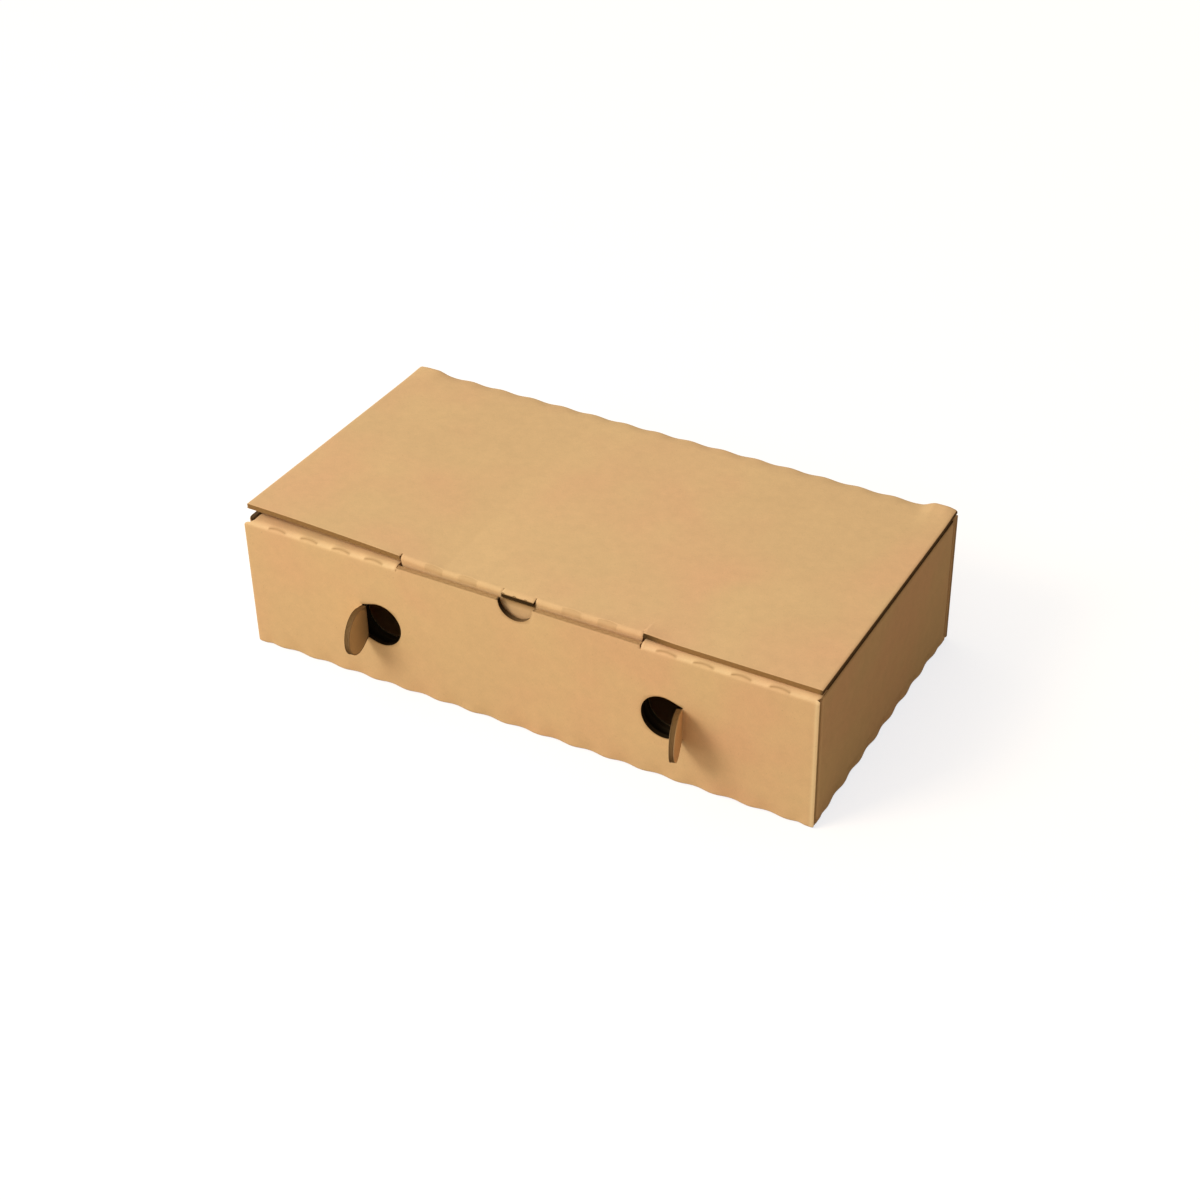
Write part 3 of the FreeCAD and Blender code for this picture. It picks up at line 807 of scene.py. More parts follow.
def front_blank(stops, pitch):
    """Front wall: outer panel, ridge and inner panel, with slot, thumb notch, nicks and vents."""
    vent_low, vent_high = stops[1] + VENT_HEIGHT - VENT_PATCH, stops[1] + VENT_HEIGHT + VENT_PATCH
    inner_high = stops[3] + WALL_TOP - VENT_HEIGHT + VENT_PATCH
    inner_low = inner_high - 2 * VENT_PATCH
    slot_front, slot_back = stops[2] - SLOT_EDGE_DROP, stops[3] + SLOT_EDGE_DROP
    nick_front, nick_back = stops[2] - NICK_DEPTH, stops[3] + NICK_DEPTH
    notch_low = slot_front - THUMB_PATCH - SPACE_UNDER_THUMB
    r = FOLD_RADIUS
    s_breaks = [
        0, stops[1] - r, stops[1] + r, vent_low, vent_high, notch_low, stops[2] - r, nick_front, slot_front,
        stops[2] - 0.06 * MM, stops[2] + 0.06 * MM, stops[2] + r, stops[3] - r, slot_back,
        nick_back, stops[3] + r, inner_low, inner_high, stops[4], stops[4] + INNER_FOOT,
    ]
    s_steps = np.array([
        1, 0.5, 6, 2.5, 4, 2, 0.35, 0.35, 0.35, 0.5, 0.35, 4, 0.6, 0.6, 0.6, 6, 2.5, 6, 3,
    ]) * MM
    s = spaced(s_breaks, s_steps)
    x = spaced(mirrored([
        HALF_LENGTH, EDGE_BAND, VENT_AT + VENT_PATCH, LOCK_TAB[1], SLOT_HALF, SLOT_HALF - NICK_WIDTH,
        VENT_AT - VENT_PATCH, LOCK_TAB[0], THUMB_PATCH,
    ]), pitch / PER_FLUTE)
    cx, cs = cell_middles(x, s)
    ax = abs(cx)
    keep = (ax > SLOT_HALF) | (cs < slot_front) | (cs > slot_back)
    nick = within(ax, SLOT_HALF - NICK_WIDTH, SLOT_HALF) & within(cs, nick_front, nick_back)
    vents = within(ax, VENT_AT - VENT_PATCH, VENT_AT + VENT_PATCH)
    vents &= within(cs, vent_low, vent_high) | within(cs, inner_low, inner_high)
    notch = (ax < THUMB_PATCH) & within(cs, notch_low, slot_front)
    foot = (cs > stops[4]) & ~within(ax, *LOCK_TAB)
    keep &= ~(nick | vents | notch | foot)
    grid_x, grid_s = np.meshgrid(x, s)
    half = front_half_width(grid_x, grid_s, stops)
    blank = Blank(squeezed(grid_x, half, EDGE_BAND, HALF_LENGTH), grid_s, keep)
    for side in (-1, 1):
        columns = between(x, side * VENT_AT - VENT_PATCH, side * VENT_AT + VENT_PATCH)
        centre = np.array([side * VENT_AT, (vent_low + vent_high) / 2])
        outer = square_loop(columns, between(s, vent_low, vent_high))
        blank.add_ring(outer, vent_loop(outer, centre, side), 4)
        centre = np.array([side * VENT_AT, (inner_low + inner_high) / 2])
        outer = square_loop(columns, between(s, inner_low, inner_high))
        blank.add_ring(outer, round_loop(outer, centre, INNER_VENT_RADIUS), 4)
    rows = between(s, notch_low, slot_front)
    patch = np.stack(np.meshgrid(between(x, -THUMB_PATCH, THUMB_PATCH), rows), -1)
    loop = np.concatenate([patch[::-1, 0], patch[0, 1:], patch[1:, -1]])
    angle = np.arctan2(loop[:, 1] - slot_front, loop[:, 0])
    angle[0] = -np.pi
    drop = THUMB_RADIUS - SLOT_EDGE_DROP
    arc = np.stack([THUMB_RADIUS * np.cos(angle), slot_front + drop * np.sin(angle)], -1)
    blank.add_ring(loop, arc, 5)
    return blank


def front_place(corners, mirror):
    """Placing of the front wall; mirror -1 stands it at the back instead."""
    def place(x, s, h):
        """Folded section at s and h, set at x. Within the slot, the ridge folds are square."""
        round_fold = folded(s, h, corners, [BASE_RADIUS] + [FOLD_RADIUS] * (len(corners) - 3))
        square = folded(s, h, corners, [BASE_RADIUS] + [0.1 * MM] * (len(corners) - 3))
        free = abs(x) < SLOT_HALF - NICK_WIDTH / 2
        section = np.where((free & (mirror > 0))[:, None], square, round_fold)
        return np.stack([x, mirror * section[:, 0], section[:, 1]], -1)
    return place


class BOX_OT_front_wall(bpy.types.Operator):
    """Build the rolled front wall with its ridge, slot, thumb notch, vents and lock tabs."""

    bl_idname = "box.front_wall"
    bl_label = "Front wall"

    def execute(self, context):
        board, crease = context.scene.box_board, context.scene.box_crease
        corners, stops = front_path()

        def ridge_cuts(x, s):
            """Distance past the bowed knife cuts of the ridge's front fold, and where those cuts are."""
            past = s - stops[2] + RIDGE_CUT_BACK - cut_arch(abs(x), RIDGE_CUTS_FROM, crease)
            return past, cut_window(abs(x), RIDGE_CUTS_FROM, crease)

        def relief(x, s):
            """Crushed base fold, and a swell and a lip along the ridge beyond the slot."""
            ax = abs(x)
            ends = fold_ends(x, HALF_LENGTH, 4 * MM)
            base = fold_crush(x, BASE_CUTS_FROM, s - stops[1], crease) * ends
            on_ridge = (ax > SLOT_HALF - NICK_WIDTH / 2) * ends * smooth((ax - SLOT_HALF) / (3 * MM))
            swell = RIDGE_SWELL * fold_crush(ax, RIDGE_CUTS_FROM, 2 * (s - stops[2]), crease)
            past, window = ridge_cuts(x, s)
            return base + on_ridge * (swell + window * crease.lip * lip_step(past, RIDGE_DIP))

        def marks(x, s):
            """Ridge cuts, darker from the exposed core and painted slit shade; scuffs with painted highlights
            along the ridge; a painted highlight on the right corner; painted shade in the vents and thumb
            notch.
            """
            ax = abs(x)
            past, window = ridge_cuts(x, s)
            window = window * within(ax, SLOT_HALF, HALF_LENGTH - 12 * MM)
            # Darker at the ridge's knife cuts: the exposed core and a painted shade of the slit.
            cut = RIDGE_CUT_WEAR_AND_SHADE * window * bell(past, 1.0 * MM)
            # Paler along the crease between the cuts: a scuff with a painted highlight.
            ridge = bell(s - stops[2] + RIDGE_CUT_BACK, 1.4 * MM) * (ax > SLOT_HALF) * (1 - window)
            # Painted highlight along the front wall's right edge.
            corner = smooth((x - HALF_LENGTH + 2.6 * MM) / (0.8 * MM)) * (s < stops[2])
            off_vent = abs(ax - VENT_AT) - VENT_PATCH
            off_edge = np.minimum(abs(s - stops[2]), abs(s - stops[3])) - 8 * MM
            hollow = smooth((6 * MM - off_vent) / (4 * MM)) * smooth(off_edge / (4 * MM))
            off_notch = np.hypot(x, s - stops[2]) - THUMB_RADIUS
            leftward = np.clip(-x / THUMB_RADIUS, -1, 1)
            notch = smooth(1.5 - off_notch / MM) * (NOTCH_SHADE + NOTCH_LEAN * leftward)
            return {
                "cut": cut,
                "scuff": np.maximum(RIDGE_SCUFF_AND_HIGHLIGHT * ridge, CORNER_HIGHLIGHT * corner),
                "shade_inside": np.maximum(HOLLOW_SHADE * hollow, notch * (s < stops[2])),
            }

        blank = front_blank(stops, board.flute_pitch)
        piece = corrugated(
            "front_wall", blank, front_place(corners, 1), board, 0, relief, marks,
            seams=lambda x, s: stands_at(s, 0), browned=0.65,
        )
        keep_piece(piece, "tray", "tray")
        return {"FINISHED"}


class BOX_OT_back_wall(bpy.types.Operator):
    """Build the back wall, folded up from the base."""

    bl_idname = "box.back_wall"
    bl_label = "Back wall"

    def execute(self, context):
        board, crease = context.scene.box_board, context.scene.box_crease
        corners = [(-FACE + SEAM_INSET, 0.0), (-FACE, 0.0), (-FACE, WALL_TOP)]
        stops = path_stops(corners)
        r = FOLD_RADIUS
        s = spaced([0, stops[1] - r, stops[1] + r, stops[2]], np.array([1, 0.5, 6]) * MM)
        x = spaced([-HALF_LENGTH, HALF_LENGTH], board.flute_pitch / PER_FLUTE)

        def relief(x, s):
            """Crushed base fold, and the face set back a little under the lid crease."""
            shy = 0.06 * MM * smooth((s - stops[2] + 2 * MM) / MM)
            crush = fold_crush(x, BASE_CUTS_FROM, s - stops[1], crease)
            return crush * fold_ends(x, HALF_LENGTH, 4 * MM) - shy

        grid_x, grid_s = np.meshgrid(x, s)
        half = HALF_LENGTH - foot_inset(grid_s, stops[1])
        blank = Blank(squeezed(grid_x, half, EDGE_BAND, HALF_LENGTH), grid_s)
        piece = corrugated(
            "back_wall", blank, front_place(corners, -1), board, 0, relief,
            seams=lambda x, s: stands_at(s, 0, stops[2]),
        )
        keep_piece(piece, "tray", "tray")
        return {"FINISHED"}


class BOX_OT_base(bpy.types.Operator):
    """Build the base with its side folds and the slots for the lock tabs."""

    bl_idname = "box.base"
    bl_label = "Base"

    def execute(self, context):
        board, crease = context.scene.box_board, context.scene.box_crease
        corners = [
            (HALF_LENGTH, SIDE_SEAM), (HALF_LENGTH, 0.0), (-HALF_LENGTH, 0.0), (-HALF_LENGTH, SIDE_SEAM)
        ]
        total = 2 * SIDE_SEAM + 2 * HALF_LENGTH
        middle = total / 2
        r = FOLD_RADIUS
        depth = FACE - SEAM_INSET
        slot_gap = 0.3 * MM
        slots = [-(FACE - RIDGE_DEPTH) - board.thickness - slot_gap, -(FACE - RIDGE_DEPTH) + slot_gap]
        y = spaced([-depth, *slots, depth], np.array([1.5, 2, 2]) * MM)
        ends = [middle - HALF_LENGTH - r, middle - HALF_LENGTH + r]
        inner = mirrored([LOCK_TAB[0] - slot_gap, LOCK_TAB[1] + slot_gap])
        breaks = [0.0, *ends, *[middle + b for b in inner], *[total - e for e in ends[::-1]], total]
        steps = np.array([1, 0.55, 1.08, 1.08, 1.08, 1.08, 1.08, 0.55, 1]) * MM
        p = spaced(breaks, steps)
        cp, cy = cell_middles(p, y)
        hole = within(abs(cp - middle), LOCK_TAB[0] - slot_gap, LOCK_TAB[1] + slot_gap)
        hole &= within(cy, *slots)
        blank = Blank(*np.meshgrid(p, y), ~hole)

        def place(p, y, h):
            """Folded section at p and h, in x and z, set at y."""
            section = folded(p, h, corners, [BASE_RADIUS, BASE_RADIUS])
            return np.stack([section[:, 0], y, section[:, 1]], -1)

        def relief(p, y):
            """Crushed side folds: up the wall at first, then under the base."""
            along = SIDE_SEAM - np.minimum(p, total - p)
            return fold_crush(y, BASE_CUTS_FROM, along, crease) * fold_ends(y, FACE, 8 * MM)

        piece = corrugated(
            "base", blank, place, board, 0, relief,
            seams=lambda p, y: stands_at(p, 0, total) | stands_at(abs(y), depth),
        )
        keep_piece(piece, "tray", "tray")
        return {"FINISHED"}


class BOX_OT_side_walls(bpy.types.Operator):
    """Build both side walls, each with its front and rear corner flap."""

    bl_idname = "box.side_walls"
    bl_label = "Side walls"

    def execute(self, context):
        board, crease = context.scene.box_board, context.scene.box_crease
        front, rear = -FACE + board.thickness + SHEET_GAP, FACE - board.thickness - SHEET_GAP
        corners = [
            (front, HALF_LENGTH - FRONT_FLAP), (front, HALF_LENGTH),
            (rear, HALF_LENGTH), (rear, HALF_LENGTH - REAR_FLAP),
        ]
        stops = path_stops(corners)
        r = FOLD_RADIUS
        p = spaced(
            [0, stops[1] - r, stops[1] + r, stops[2] - r, stops[2] + r, stops[3]],
            np.array([3, 0.6, 2, 0.6, 3]) * MM,
        )
        z = spaced([SIDE_SEAM, SIDE_TOP], board.flute_pitch / PER_FLUTE)
        grid_p, grid_z = np.meshgrid(p, z)
        drop_at = [
            0, FLAP_TIP_CHAMFER, stops[1] - 2 * r, stops[1],
            stops[2], stops[2] + 2 * r, stops[3] - FLAP_TIP_CHAMFER, stops[3],
        ]
        drops = [FLAP_TIP_DROP + FLAP_TIP_CHAMFER, FLAP_TIP_DROP, FLAP_SHOULDER_DROP, 0]

        def top(p):
            """Height of the top edge: level on the wall, stepping down to the flap tips."""
            return SIDE_TOP - np.interp(p, drop_at, drops + drops[::-1])

        def relief(p, z):
            """The base's crushed side fold, carried on up the wall."""
            y = front + p - stops[1]
            return fold_crush(y, BASE_CUTS_FROM, z, crease) * fold_ends(y, FACE, 8 * MM)

        def marks(p, z):
            """Painted shade along the top edge: browned faces and a darkened inside."""
            rim = bell(top(p) - z, 0.9 * MM)
            # Painted shade along the top edge, in brown on both faces and darker inside.
            cut = FLAP_RIM_BROWN_SHADE * rim
            return {"cut": cut, "cut_inside": cut, "shade_inside": FLAP_RIM_SHADE * rim}

        share = (grid_z - SIDE_SEAM) / (SIDE_TOP - SIDE_SEAM)
        blank = Blank(grid_p, SIDE_SEAM + share * (top(grid_p) - SIDE_SEAM))
        for word, side in SIDES.items():

            def place(p, z, h, side=side):
                """Folded section at p and h, in plan, set at height z."""
                section = folded(p, h, corners, [r, r])
                return np.stack([side * section[:, 1], section[:, 0], z], -1)

            piece = corrugated(
                word + "_side_wall", blank, place, board, 1, relief, marks,
                seams=lambda p, z: stands_at(z, SIDE_SEAM),
            )
            keep_piece(piece, "tray", "tray")
        return {"FINISHED"}


def lid_path():
    """Outer face of the lid in (-y, z), from the hinge over the top and down the tuck tab."""
    drop = LID_TOP - TAB_FOOT
    corners = [
        (-LID_BACK, LID_UNDERSIDE - 0.1 * MM),
        (-LID_BACK, LID_TOP),
        (TAB_FACE, LID_TOP),
        (TAB_FACE - drop * math.tan(TAB_LEAN), TAB_FOOT),
    ]
    return corners, path_stops(corners)


def lid_half_width(s, stops):
    """Half width of the tuck tab at length s: it tapers and ends in round corners."""
    taper = np.interp(s, [stops[2] + 3 * MM, stops[3] - TAB_CORNER], [TAB_HALF, TAB_END_HALF])
    past = np.clip(s - (stops[3] - TAB_CORNER), 0, TAB_CORNER)
    return taper - TAB_CORNER + np.sqrt(np.maximum(TAB_CORNER**2 - past**2, 0))


def lid_blank(stops, pitch):
    """Lid panel, tuck tab between two slits, and the tongue inside its U-shaped slit."""
    fold, end = stops[2], stops[3]
    r = FOLD_RADIUS
    front_edge, tongue_edge = fold + LID_FRONT - TAB_FACE, fold + TONGUE_FRONT - TAB_FACE
    tongue_root, slit_root, tab_top = fold - TONGUE_ROOT, fold - LID_SLIT_DEPTH, fold + TAB_TOP_DROP
    s_breaks = [
        0, 6 * MM, 16 * MM, fold - r, slit_root, tongue_root, fold - 0.06 * MM, fold + 0.06 * MM,
        front_edge, tongue_edge, fold + r, tab_top, end - TAB_CORNER, end,
    ]
    s_steps = np.array([0.5, 1.2, 5, 0.4, 0.4, 0.4, 0.5, 0.5, 0.5, 0.5, 1, 4, 0.8]) * MM
    s = spaced(s_breaks, s_steps)
    tab_band = 58 * MM
    slit_edge = TAB_HALF + LID_SLIT_WIDTH
    x = spaced(
        mirrored([LID_HALF, slit_edge, TAB_HALF, tab_band, TONGUE_HALF + TONGUE_SLIT, TONGUE_HALF]),
        pitch / PER_FLUTE,
    )
    cx, cs = cell_middles(x, s)
    ax = abs(cx)
    outer = (ax > slit_edge) & (cs < front_edge)
    slit = within(ax, TAB_HALF, slit_edge) & (cs < slit_root)
    panel = (ax < TAB_HALF) & (cs < tongue_root)
    tab = within(ax, TONGUE_HALF + TONGUE_SLIT, TAB_HALF) & (cs > tongue_root)
    low_tab = (ax < TONGUE_HALF + TONGUE_SLIT) & (cs > tab_top)
    tongue = (ax < TONGUE_HALF) & (cs < tongue_edge)
    grid_x, grid_s = np.meshgrid(x, s)
    half = np.where(grid_s > fold, lid_half_width(grid_s, stops), TAB_HALF)
    inside = abs(grid_x) < TAB_HALF + TOUCH
    grid_x = np.where(inside, squeezed(grid_x, half, tab_band, TAB_HALF), grid_x)
    return Blank(grid_x, grid_s, outer | slit | panel | tab | low_tab | tongue)


def lid_settled(point):
    """The lid as it lies: the front left corner turned up, the front edge sprung up where it
    was cut free of the tab's right end, and the back corners humped past the hinge crease."""
    x, y, z = point.T
    share = np.clip((-x - LIFT_FROM) / (LID_HALF - LIFT_FROM), 0, 1)
    forward = (LID_BACK - y) / (LID_BACK + LID_FRONT)
    lift = CORNER_LIFT * (1 - (1 - share) ** LIFT_EASING) * forward
    beyond = smooth((abs(x) - EAR_FROM) / (8 * MM)) * smooth((LID_HALF + 6 * MM - abs(x)) / (12 * MM))
    ears = np.where(x < 0, EAR_LEFT, EAR_RIGHT) * beyond * bell(LID_BACK - y, EAR_REACH)
    slack = LID_BOW * np.sin(x / (47 * MM) + 1.0) * np.sin(np.pi * np.clip(forward, 0, 1))
    past_tab = x - TAB_HALF
    sprung = SPRUNG_EDGE * bell(past_tab, 12 * MM) * bell(y + LID_FRONT, 5 * MM)
    sprung = np.where(past_tab > LID_SLIT_WIDTH / 2, sprung, 0)
    return np.stack([x, y, z + lift + ears + sprung + slack], -1)


class BOX_OT_lid(bpy.types.Operator):
    """Build the lid with its tuck tab and thumb tongue."""

    bl_idname = "box.lid"
    bl_label = "Lid"

    def execute(self, context):
        board, crease = context.scene.box_board, context.scene.box_crease
        corners, stops = lid_path()

        def place(x, s, h):
            """Folded section at s and h, set at x. Tongue and side parts stay in the plane."""
            tucked = folded(s, h, corners, [HINGE_RADIUS, TAB_FOLD_RADIUS])
            level = folded(s, h, corners[:3], [HINGE_RADIUS])
            in_plane = abs(x) > TAB_HALF + LID_SLIT_WIDTH / 2
            in_plane |= (abs(x) < TONGUE_HALF + TONGUE_SLIT / 2) & (s < stops[2] + 3 * MM)
            section = np.where(in_plane[:, None], level, tucked)
            return lid_settled(np.stack([x, -section[:, 0], section[:, 1]], -1))

        def on_tongue(ax):
            """True on the tongue between its slits."""
            return ax < TONGUE_HALF + 0.01 * MM

        def tab_cuts(ax, s):
            """Distance past the bowed knife cuts of the tab's fold, and where those cuts are."""
            past = s - stops[2] + 1.0 * MM + cut_arch(ax, TAB_CUTS_FROM, crease)
            return past, cut_window(ax, TAB_CUTS_FROM, crease) * within(ax, *TAB_CUTS)

        def relief(x, s):
            """Lip at the tab cuts, less the pressed hinge crease and the tongue tip."""
            ax = abs(x)
            middle = smooth((HINGE_CREASE_HALF - ax) / (7 * MM)) * smooth((s + 0.3 * MM) / (1.8 * MM))
            pressed = HINGE_PRESSED - HINGE_WAVE * np.cos(2 * np.pi * (x - HINGE_CUTS_FROM) / crease.pitch)
            crush = pressed * bell(s - stops[1] - HINGE_CREASE_AT, HINGE_CREASE_WIDTH) * middle
            past, window = tab_cuts(ax, s)
            off_tip = stops[2] + TONGUE_FRONT - TAB_FACE - s
            tip = TIP_PRESSED * bell(off_tip, 2 * MM) * on_tongue(ax) * (s < stops[2] + 3 * MM)
            return TAB_LIP * crease.lip * window * lip_step(-past, TAB_DIP) - crush - tip

        def marks(x, s):
            """Painted shade at the tab's cuts and along its fold; painted shade inside on tongue, sprung edge
            and right side.
            """
            ax = abs(x)
            along = s - stops[2]
            past, window = tab_cuts(ax, s)
            on_tab = within(ax, TONGUE_HALF + TONGUE_SLIT, TAB_HALF)
            # Painted shade on the tab's face where it turns down past each cut, and a little along its fold.
            cut = TAB_CUT_SHADE * window * smooth(past / (0.7 * MM) + 0.5) * smooth((6 * MM - past) / (3 * MM))
            fold = TAB_FOLD_SHADE * bell(along, 2 * MM) * on_tab
            tongue = TONGUE_SHADE * (on_tongue(ax) & within(along, -MM, TAB_TOP_DROP - MM))
            past_tab = (x > TAB_HALF + 0.01 * MM) & (along > -3 * MM)
            sprung = SPRUNG_SHADE * bell(x - TAB_HALF, 9 * MM) * past_tab
            right = LID_SIDE_SHADE * smooth((x - LID_HALF + 1.5 * MM) / MM)
            return {
                "cut": np.maximum(cut, fold), "shade_inside": np.maximum.reduce([tongue, sprung, right])
            }

        blank = lid_blank(stops, board.flute_pitch)
        piece = corrugated(
            "lid_panel", blank, place, board, 0, relief, marks, seams=lambda x, s: stands_at(s, 0)
        )
        keep_piece(piece, "lid", "lid")
        return {"FINISHED"}


def arc_points(centre, radius, start, end, count):
    """Points round a circle, evenly spaced in angle from start to end."""
    angle = np.linspace(start, end, count)
    return centre + radius * np.stack([np.cos(angle), np.sin(angle)], -1)


def disc_blank(side, pitch):
    """Vent flap as one patch between four boundary curves: a disc with tangents to its hinge."""
    centre = np.array([side * VENT_AT, VENT_HEIGHT])
    r, half = VENT_RADIUS - VENT_KERF, VENT_HINGE_HALF - VENT_KERF
    reach = VENT_CHORD - VENT_HINGE_GAP
    tangent = tangent_angle(r, reach, half)
    count = int(2 * r / (pitch / PER_FLUTE)) + 1
    straight = count // 4
    far = arc_points(centre, r, -0.75 * np.pi, -1.25 * np.pi, count)
    arc = arc_points(centre, r, 0.75 * np.pi, tangent, count - straight)
    end = centre + np.array([reach, half])
    share = np.linspace(0, 1, straight + 1)[1:, None]
    top = np.concatenate([arc, mix(arc[-1], end, share)])
    bottom = np.stack([top[:, 0], 2 * centre[1] - top[:, 1]], -1)
    chord = bottom[-1] + (top[-1] - bottom[-1]) * np.linspace(0, 1, count)[:, None]
    u = np.linspace(0, 1, count)[None, :, None]
    v = np.linspace(0, 1, count)[:, None, None]
    corners = mix(mix(far[0], chord[0], u), mix(far[-1], chord[-1], u), v)
    patch = mix(bottom[None], top[None], v) + mix(far[:, None], chord[:, None], u) - corners
    if side < 0:
        patch[..., 0] = 2 * centre[0] - patch[..., 0]
    return Blank(patch[..., 0], patch[..., 1])


def swung(x, y, side):
    """Point of the closed front panel, turned about the vent's hinge to its place at rest."""
    hinge = side * (VENT_AT + VENT_CHORD)
    angle = side * VENT_OPEN[side]
    dx, dy = x - hinge, y + FACE
    c, s = math.cos(angle), math.sin(angle)
    return hinge + dx * c - dy * s, -FACE + dx * s + dy * c


class BOX_OT_vent_discs(bpy.types.Operator):
    """Build the two vent discs, each with the creased liner that hinges it."""

    bl_idname = "box.vent_discs"
    bl_label = "Vent discs"

    def execute(self, context):
        board = context.scene.box_board
        for word, side in SIDES.items():

            def place(x, z, h, side=side):
                """Point of the shut flap at depth h, turned about the vent's hinge."""
                return np.stack([*swung(x, -FACE + h, side), z], -1)

            def marks(x, z, side=side):
                """Painted shade: inner face browner towards the hinge, where the flap's shadow falls, and
                dark along its rim.
                """
                hingeward = (x * side - VENT_AT) / VENT_RADIUS
                off_rim = VENT_RADIUS - VENT_KERF - np.hypot(x - side * VENT_AT, z - VENT_HEIGHT)
                # Painted shade, browner towards the hinge where the open flap shades itself.
                cut = DISC_INNER_SHADE + DISC_HINGE_SHADE * smooth(0.5 + hingeward / 2)
                shade = DISC_RIM_SHADE * smooth(1.5 - off_rim / (0.6 * MM))
                return {"cut_inside": cut, "shade_inside": shade}

            blank = disc_blank(side, board.flute_pitch)
            piece = corrugated(word + "_vent_disc", blank, place, board, 0, marks=marks)
            keep_piece(piece, word + "_vent", word + "_vent_flap")
            self.add_crease(word, side)
        return {"FINISHED"}

    def add_crease(self, word, side):
        """Strip of outer liner that bends where a flap hinges, flush with wall and flap at its ends."""
        hinge = side * (VENT_AT + VENT_CHORD)
        half = VENT_HINGE_HALF - 2 * VENT_KERF
        overlap, thickness, swell = 1.0 * MM, 0.25 * MM, 0.08 * MM
        p = np.linspace(-overlap, overlap, 17)
        z = np.linspace(VENT_HEIGHT - half, VENT_HEIGHT + half, 15)

        def place(p, z, h):
            """From the wall's face at p below 0 to the flap's above 0, swelling between."""
            out = swell * (1 - (p / overlap) ** 2) * (1 - h / thickness) - h
            share = smooth(p / overlap + 0.5)[:, None]
            on_wall = np.stack([hinge - side * p, -FACE - out], -1)
            on_flap = np.stack(swung(hinge - side * p, -FACE - out, side), -1)
            return np.stack([*mix(on_wall, on_flap, share).T, z], -1)

        blank = Blank(*np.meshgrid(p, z))
        piece = strip(word + "_vent_crease", blank, place, thickness, "liner_outside")
        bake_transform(piece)


class BOX_OT_lid_crease(bpy.types.Operator):
    """Build the creased liner that hinges the lid to the back wall."""

    bl_idname = "box.lid_crease"
    bl_label = "Lid crease"

    def execute(self, context):
        low, high = WALL_TOP - 1.2 * MM, LID_UNDERSIDE + 0.25 * MM
        x = spaced([-HINGE_STRIP_HALF, HINGE_STRIP_HALF], 4 * MM)
        z = np.linspace(low, high, 9)

        def place(x, z, h):
            """From the wall's face up to the lid's, drawing in by a smooth step."""
            share = smooth((z - WALL_TOP) / (high - WALL_TOP))
            y = FACE - 0.01 * MM - share * (FACE - LID_BACK + 0.5 * MM)
            return np.stack([x, y - h, z], -1)

        piece = strip("lid_crease", Blank(*np.meshgrid(x, z)), place, 0.2 * MM, "liner_outside")
        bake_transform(piece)
        return {"FINISHED"}


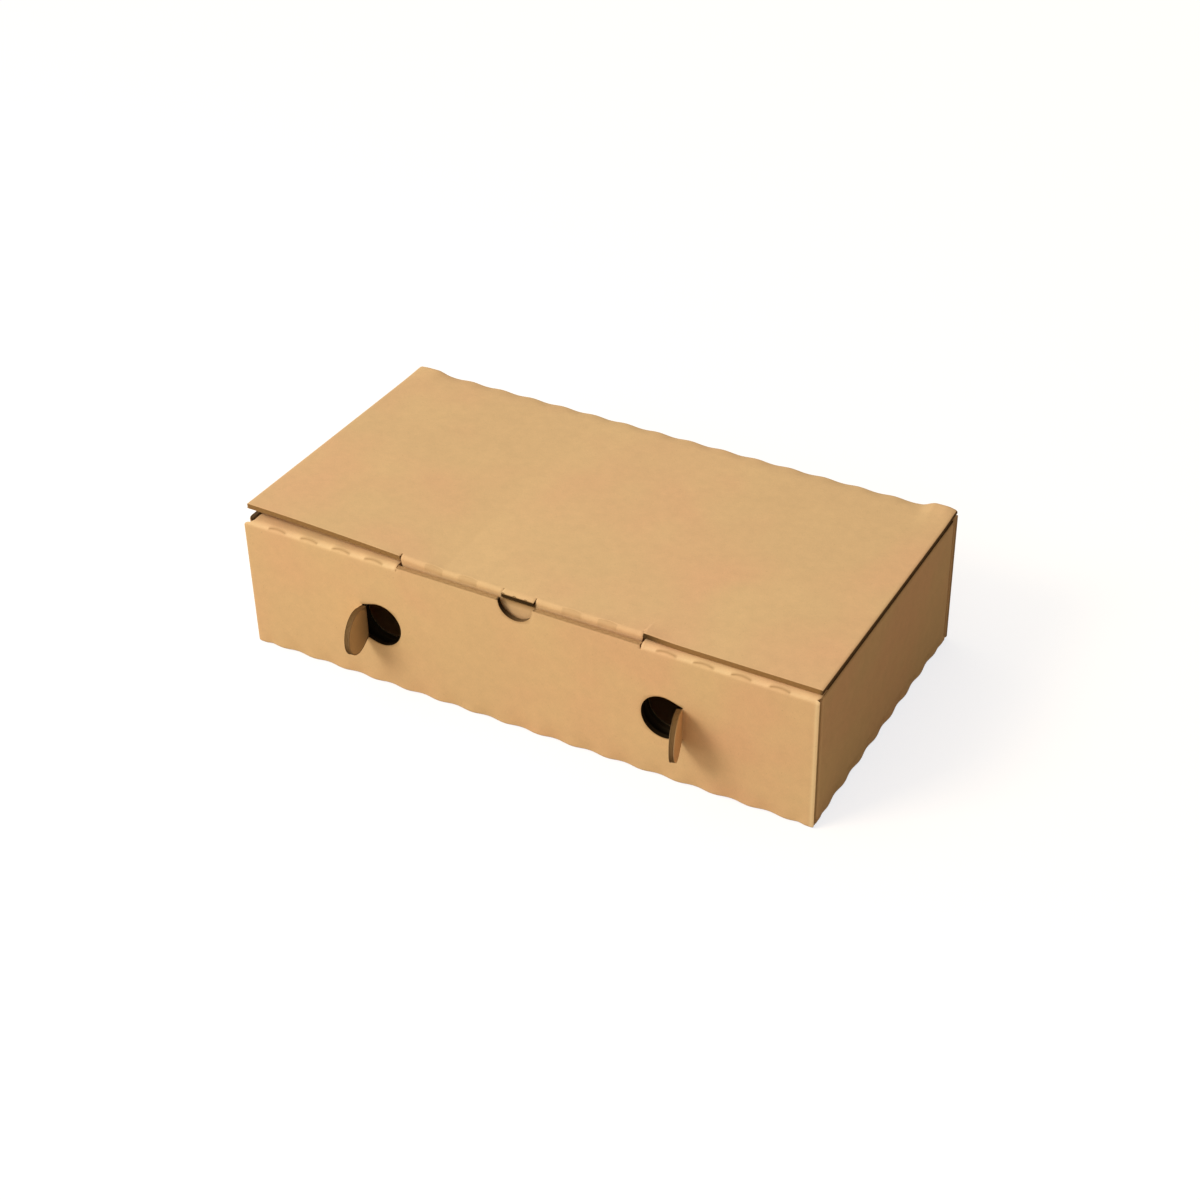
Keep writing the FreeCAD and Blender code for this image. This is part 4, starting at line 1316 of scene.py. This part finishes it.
class BOX_OT_stage(bpy.types.Operator):
    """Set the floor, lamps, surroundings and camera."""

    bl_idname = "box.stage"
    bl_label = "Stage"

    def execute(self, context):
        scene = context.scene
        self.add_floor(scene)
        self.add_lamps(scene)
        self.add_world(scene)
        self.add_camera(scene)
        scene.view_settings.view_transform = "Standard"
        return {"FINISHED"}

    def add_floor(self, scene):
        """Floor just under the base, open within its outline so that the underside gets light too."""
        corners = []
        for x, y in ((FLOOR_HALF, FLOOR_HALF), (HALF_LENGTH - FLOOR_LAP, FACE - FLOOR_LAP)):
            corners += [(a * x, b * y, -FLOOR_DROP) for a, b in ((-1, -1), (1, -1), (1, 1), (-1, 1))]
        faces = [(i, (i + 1) % 4, 4 + (i + 1) % 4, 4 + i) for i in range(4)]
        mesh = bpy.data.meshes.new("floor")
        mesh.from_pydata(corners, [], faces)
        colour, glow = scene.box_colour.floor, scene.box_light.floor_glow
        mesh.materials.append(new_material("floor", lambda tree: floor_finish(tree, colour, glow)))
        floor = new_object("floor", mesh)

    def add_lamps(self, scene):
        """One square lamp in front, to the left and above, facing the origin."""
        towards = Vector(KEY_TOWARDS).normalized()
        lamp = bpy.data.lights.new("key", "AREA")
        lamp.shape = "SQUARE"
        lamp.size = scene.box_light.key_size
        lamp.energy = scene.box_light.key_power
        key = new_object("key", lamp)
        key.location = towards * scene.box_light.key_distance
        key.rotation_euler = towards.to_track_quat("Z", "Y").to_euler()

    def add_world(self, scene):
        """White all round where it is seen or mirrored; where it lights, brighter on one side."""
        light = scene.box_light
        world = bpy.data.worlds.new("surroundings")
        world.use_nodes = True
        tree = world.node_tree
        path = node(tree, "ShaderNodeLightPath")
        seen = arithmetic(tree, "MAXIMUM", path.outputs["Is Camera Ray"], path.outputs["Is Glossy Ray"])
        seen = arithmetic(tree, "MAXIMUM", seen, path.outputs["Is Transmission Ray"])
        towards = node(tree, "ShaderNodeVectorMath", operation="DOT_PRODUCT")
        feed(towards.inputs[0], node(tree, "ShaderNodeTexCoord").outputs["Generated"])
        feed(towards.inputs[1], light.lean)
        lit = arithmetic(tree, "ADD", towards.outputs["Value"], light.fill)
        bright = arithmetic(tree, "MAXIMUM", seen, ranged(tree, lit, 0.1, light.fill))
        background, white = tree.nodes["Background"].inputs, (1.0, 1.0, 1.0)
        feed(background["Strength"], mixed(tree, seen, grey(tree, lit), white))
        feed(background["Color"], mixed(tree, bright, light.dim, white))
        scene.world = world

    def add_camera(self, scene):
        """Camera in front, to the right and above, turned by azimuth, elevation and roll."""
        data = bpy.data.cameras.new("camera")
        data.lens = CAMERA_LENS
        data.clip_start, data.clip_end = 0.05, 50.0
        camera = new_object("camera", data)
        place = Matrix.Translation(CAMERA_AT)
        turns = (CAMERA_AZIMUTH, "Z"), (math.pi / 2 - CAMERA_ELEVATION, "X"), (CAMERA_ROLL, "Z")
        for angle, axis in turns:
            place = place @ Matrix.Rotation(angle, 4, axis)
        camera.matrix_world = place
        scene.camera = camera


class BOX_PT_panel(bpy.types.Panel):
    """Sidebar panel with the box's pieces and its settings."""

    bl_label = "Corrugated food box"
    bl_space_type = "VIEW_3D"
    bl_region_type = "UI"
    bl_category = "Box"

    def draw(self, context):
        for operator in OPERATORS:
            self.layout.operator(operator.bl_idname)
        for name in GROUPS:
            settings = getattr(context.scene, name)
            for key in settings.__annotations__:
                self.layout.prop(settings, key)


GROUPS = {
    "box_board": BOX_PG_board,
    "box_crease": BOX_PG_crease,
    "box_colour": BOX_PG_colour,
    "box_light": BOX_PG_light,
}
OPERATORS = [
    BOX_OT_front_wall, BOX_OT_back_wall, BOX_OT_base, BOX_OT_side_walls,
    BOX_OT_lid, BOX_OT_lid_crease, BOX_OT_vent_discs, BOX_OT_stage,
]


def register():
    """Registers the classes, and their settings with the scene."""
    for cls in [*GROUPS.values(), *OPERATORS, BOX_PT_panel]:
        bpy.utils.register_class(cls)
    for name, cls in GROUPS.items():
        setattr(bpy.types.Scene, name, PointerProperty(type=cls))


def unregister():
    """Takes away what register adds."""
    for name in GROUPS:
        delattr(bpy.types.Scene, name)
    for cls in [BOX_PT_panel, *OPERATORS[::-1], *list(GROUPS.values())[::-1]]:
        bpy.utils.unregister_class(cls)


def main():
    """Builds every piece and the stage."""
    register()
    bpy.ops.box.front_wall()
    bpy.ops.box.back_wall()
    bpy.ops.box.base()
    bpy.ops.box.side_walls()
    bpy.ops.box.lid()
    bpy.ops.box.lid_crease()
    bpy.ops.box.vent_discs()
    bpy.ops.box.stage()


if __name__ == "__main__":
    main()
